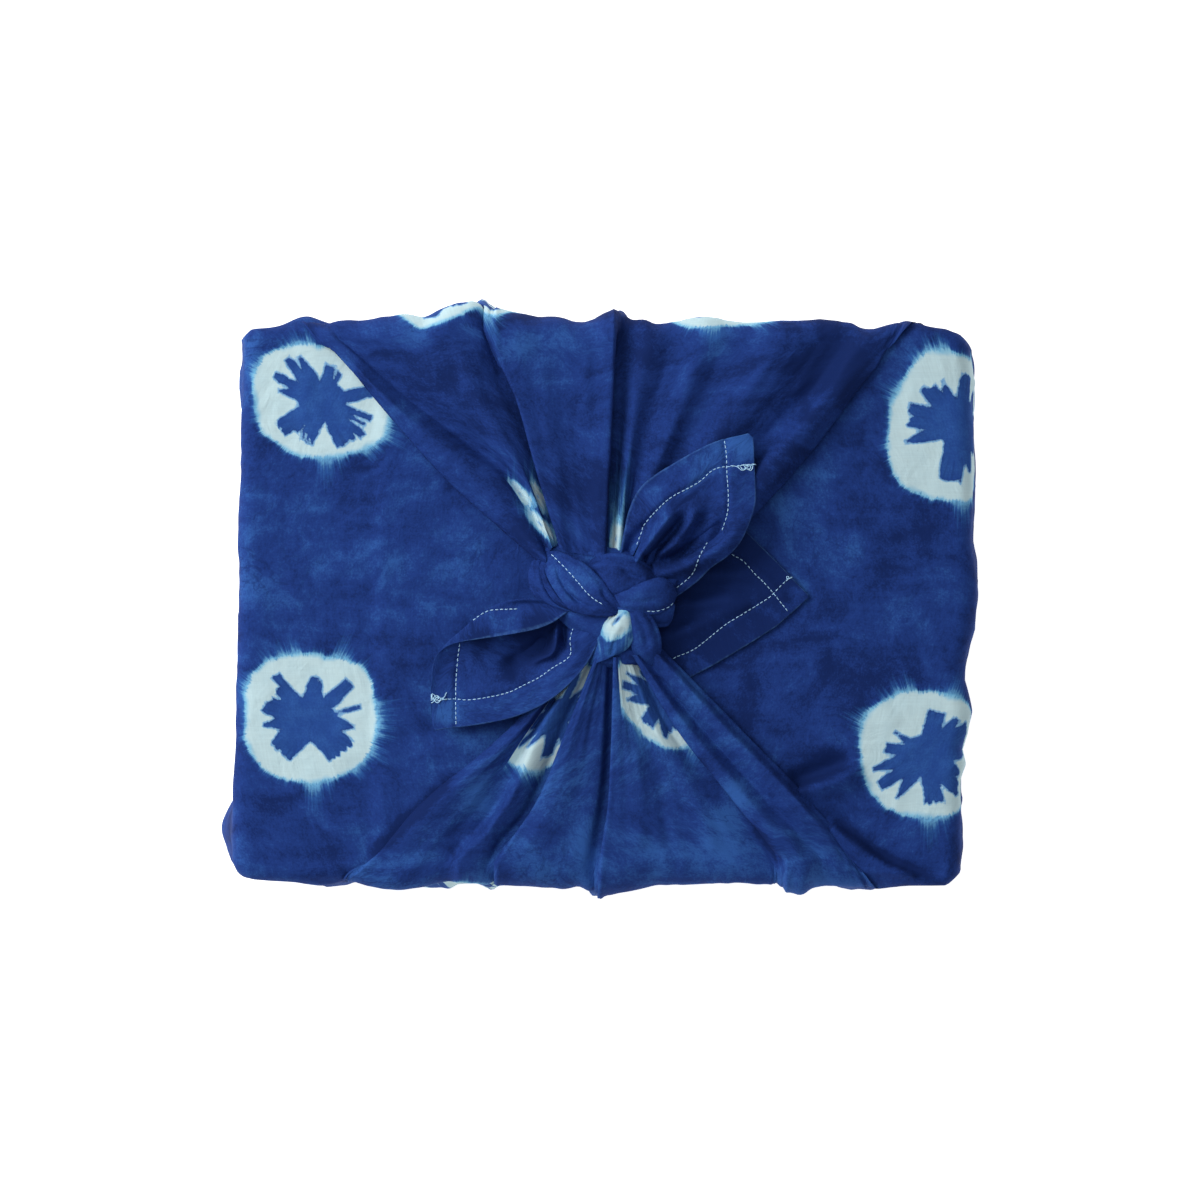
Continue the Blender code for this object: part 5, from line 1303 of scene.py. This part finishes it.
def tubes(name, runs, radius, sides=6, material=None):
    """Thin tubes along short runs of points, with rounded ends."""
    verts, faces, tris = [], [], []
    for points in runs:
        points = np.asarray(points, float)
        count, base = len(points), len(verts)
        ahead = np.gradient(points, axis=0)
        ahead /= np.maximum(np.linalg.norm(ahead, axis=1, keepdims=True), 1e-9)
        side = np.cross(ahead, (0, 0, 1.0))
        side /= np.maximum(np.linalg.norm(side, axis=1, keepdims=True), 1e-6)
        up = np.cross(side, ahead)
        swell = np.ones(count)
        swell[0] = swell[-1] = 0.45
        for p, s, u, w in zip(points, side, up, swell):
            for k in range(sides):
                a = 2 * math.pi * k / sides
                verts.append((p + (s * math.cos(a) + u * math.sin(a)) * radius * w) * MM)
        for i in range(count - 1):
            for k in range(sides):
                a, b = base + i * sides + k, base + i * sides + (k + 1) % sides
                faces.append((a, b, b + sides, a + sides))
        for end in (0, count - 1):
            centre = len(verts)
            verts.append((points[end] + ahead[end] * (radius * 0.5 if end else -radius * 0.5)) * MM)
            for k in range(sides):
                a, b = base + end * sides + k, base + end * sides + (k + 1) % sides
                tris.append((a, b, centre) if end else (b, a, centre))
    mesh = bpy.data.meshes.new(name)
    mesh.from_pydata([tuple(v) for v in verts], [], faces + tris)
    mesh.update()
    mesh.shade_smooth()
    mesh.materials.append(material)
    obj = bpy.data.objects.new(name, mesh)
    bpy.context.scene.collection.objects.link(obj)
    return obj


def stitch_line(tree, points, length=1.40):
    """Running stitches along plan points, lying on the cloth."""
    line = plan(points)
    line = spline(np.arange(len(line)), line, np.linspace(0, len(line) - 1, 24 * len(line)))
    run = run_length(line)
    runs, k = [], 0
    pos = 0.3
    while pos + length < run[-1]:
        ends = [np.array([np.interp(pos + length * t, run, line[:, c]) for c in (0, 1)]) for t in (0.0, 0.25, 0.5, 0.75, 1.0)]
        lifts = (-0.02, 0.12, 0.16, 0.12, -0.02)
        points_up = []
        for xy, lift in zip(ends, lifts):
            p, _ = on_cloth(tree, xy, lift)
            if p is not None:
                points_up.append(p)
        if len(points_up) == 5 and np.ptp([p[2] for p in points_up]) < 2.6:
            runs.append(points_up)
        k += 1
        pos += STITCH_PITCH * (1.0 + 0.10 * wobble(k * 0.77, pos * 0.31, 2.0))
    return runs


SEAMS = {
    "stitches_tail_back": (
        (tail_back, ((724, 440.5), (726, 455.7), (726.4, 473.6), (727.7, 495), (727, 513), (723, 527), (721, 533))),
        (tail_back, ((716, 536), (708, 542), (703.6, 548.6), (698, 559), (693, 572), (685.7, 580.7), (676, 588))),
        (tail_back, ((755, 464.6), (732, 467), (719.6, 468), (710.7, 471.8), (700, 481.6), (689, 488), (671, 497.7), (659, 508),
                     (648, 520), (643, 527), (641, 534), (636, 547))),
    ),
    "stitches_tail_front": (
        (tail_front, ((447.7, 699), (456, 698.6), (467, 699.7), (478.6, 698.6), (498, 695), (512, 691), (526, 684), (540, 677),
                      (554, 667), (565.6, 660), (571, 653), (570.5, 640), (573, 629), (578, 620.7))),
        (tail_front, ((460, 643), (457.5, 664), (456, 692), (456.4, 726))),
        (tail_front, ((473, 620.7), (484, 613), (492.6, 610), (509.4, 609.2), (521, 608.6))),
    ),
    "stitches_flap": (
        (cloth_left, ((731, 554), (743, 561), (753.6, 572.7), (764, 582.5), (775, 595), (791, 615.5))),
        (cloth_left, ((789, 578), (778.6, 588), (771, 596), (760.7, 603), (743, 613.8), (725, 625), (707, 639.6), (693, 650),
                      (675, 657.5), (659, 667))),
    ),
    "stitches_knot": (
        (knot[0], ((551, 554), (560, 562.6), (568.6, 571.7), (577, 581), (585.4, 591), (594, 599), (604, 605.4))),
        (knot[4], ((646, 611), (656, 611), (668, 607), (674, 601))),
    ),
}
trees = {obj.name: tree_of(obj) for obj in (tail_back, tail_front, cloth_left, knot[0], knot[4])}
seams = {}
for name, lines in SEAMS.items():
    runs = []
    for obj, points in lines:
        runs += stitch_line(trees[obj.name], points)
    seams[name] = tubes(name, runs, 0.19, material=THREAD_MATERIAL)

# loose thread ends at the corners of the hems
LOOSE = {
    "thread_tail_back": (tail_back, (
        ((730, 466.5), (735, 467), (739, 469.5), (742, 471), (745, 469), (743, 466), (740, 467), (742, 470), (747, 468), (752, 464.5), (757, 463.5)),
        ((741, 466), (746, 465), (750, 467.5), (748, 470), (744, 468), (747, 465.5), (752, 467), (750, 471), (747, 469.5)),
        ((737, 468), (742, 466.5), (747, 467), (751, 465.5), (755, 465.5), (757, 462.8)))),
    "thread_tail_front": (tail_front, (
        ((448, 699), (443, 699.5), (438, 700.5), (434, 699), (430, 701), (430, 696), (433, 694), (436, 697), (433, 702), (429, 703)),
        ((447, 692), (445, 696), (442, 698.5), (438, 697), (435, 700), (438, 702.5), (441, 699), (437, 695.5), (433, 698)),
        ((445, 699.5), (440, 697.5), (437, 699.5), (432, 697.5), (430, 694), (433, 693.5)))),
    "thread_flap": (cloth_left, (
        ((786, 581), (789, 578), (788, 576.5), (786.5, 576.8), (788, 579), (792, 577.5), (795, 578.5)),)),
}
for name, (obj, lines) in LOOSE.items():
    runs = []
    for k, points in enumerate(lines):
        line = plan(points)
        line = spline(np.arange(len(line)), line, np.linspace(0, len(line) - 1, 9 * len(line)))
        run = []
        for m, xy in enumerate(line):
            p, _ = on_cloth(trees[obj.name], xy, 0.25 + 0.22 * k + 0.15 * math.sin(m * 0.5 + k))
            if p is None:
                continue
            if run and abs(p[2] - run[-1][2]) > 3.0:
                break      # past the edge of the hem, where the thread ends
            run.append(p)
        if len(run) > 6:
            runs.append(run)
    seams[name] = tubes(name, runs, 0.19, sides=6, material=THREAD_MATERIAL)


# ----------------------------------------------------- attach to the root body, hide the CAD cloth
def flat_of(obj):
    return sum(p.area for p in obj.data.polygons)


pieces = [cloth_left, cloth_right, cloth_back, cloth_front, tail_back, tail_front] + knot + core + list(seams.values())
for piece in pieces:
    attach(piece, "root")
    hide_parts("wrap_cloth")
for obj in pieces[:6] + knot + core:
    print("AREA", obj.name, round(flat_of(obj), 5), "tris", 2 * len(obj.data.polygons))

# ------------------------------------------------------------ floor and light
def stage_material():
    n = Nodes("studio_paper")
    where = n.add("ShaderNodeTexCoord").outputs["Object"]
    tone = n.noise(where, 3.0, 2.0)
    colour = n.mix(tone, (0.90, 0.90, 0.90, 1.0), (0.93, 0.93, 0.93, 1.0))
    shader = n.add("ShaderNodeBsdfPrincipled", {"Base Color": colour, "Roughness": n.math("MULTIPLY_ADD", tone, 0.05, 0.85)})
    shader.inputs["Specular IOR Level"].default_value = 0.0
    shader.inputs["Emission Color"].default_value = (1.0, 1.0, 1.0, 1.0)
    shader.inputs["Emission Strength"].default_value = 0.84
    n.add("ShaderNodeOutputMaterial", {"Surface": shader.outputs[0]})
    return n.material


floor_mesh = bpy.data.meshes.new("studio_floor")
floor_mesh.from_pydata([(-6, -6, 0), (6, -6, 0), (6, 6, 0), (-6, 6, 0)], [], [(0, 1, 2, 3)])
floor_mesh.materials.append(stage_material())
floor = bpy.data.objects.new("studio_floor", floor_mesh)
bpy.context.scene.collection.objects.link(floor)

scene = bpy.context.scene
scene.view_settings.view_transform = "Standard"
scene.view_settings.look = "None"
scene.view_settings.exposure = 0.0
scene.view_settings.gamma = 1.0
world = bpy.data.worlds.new("studio")
world.use_nodes = True
background = world.node_tree.nodes["Background"]
background.inputs["Color"].default_value = (1.0, 1.0, 1.0, 1.0)
background.inputs["Strength"].default_value = 0.33
scene.world = world


def area_light(name, place, target, size, power):
    data = bpy.data.lights.new(name, "AREA")
    data.shape, data.size, data.energy = "SQUARE", size, power
    obj = bpy.data.objects.new(name, data)
    obj.location = place
    obj.rotation_euler = (Vector(target) - Vector(place)).to_track_quat("-Z", "Y").to_euler()
    scene.collection.objects.link(obj)


area_light("key", (-1.25, 0.55, 1.2), (0, 0, 0.1), 1.1, 27.2)
area_light("top", (-0.2, 0.5, 3.2), (0, 0, 0), 1.6, 13.0)

camera_data = bpy.data.cameras.new("overhead")
camera_data.sensor_width = 36.0
DISTANCE = 2.7
camera_data.lens = 36.0 * DISTANCE / (1200 * PLAN_SCALE * MM)
camera_data.clip_end = 20.0
camera = bpy.data.objects.new("overhead", camera_data)
centre = plan((600.0, 600.0)) * MM
camera.location = (float(centre[0]), float(centre[1]), 0.1 + DISTANCE)
camera.rotation_euler = (0.0, 0.0, PLAN_TURN)
scene.collection.objects.link(camera)
scene.camera = camera
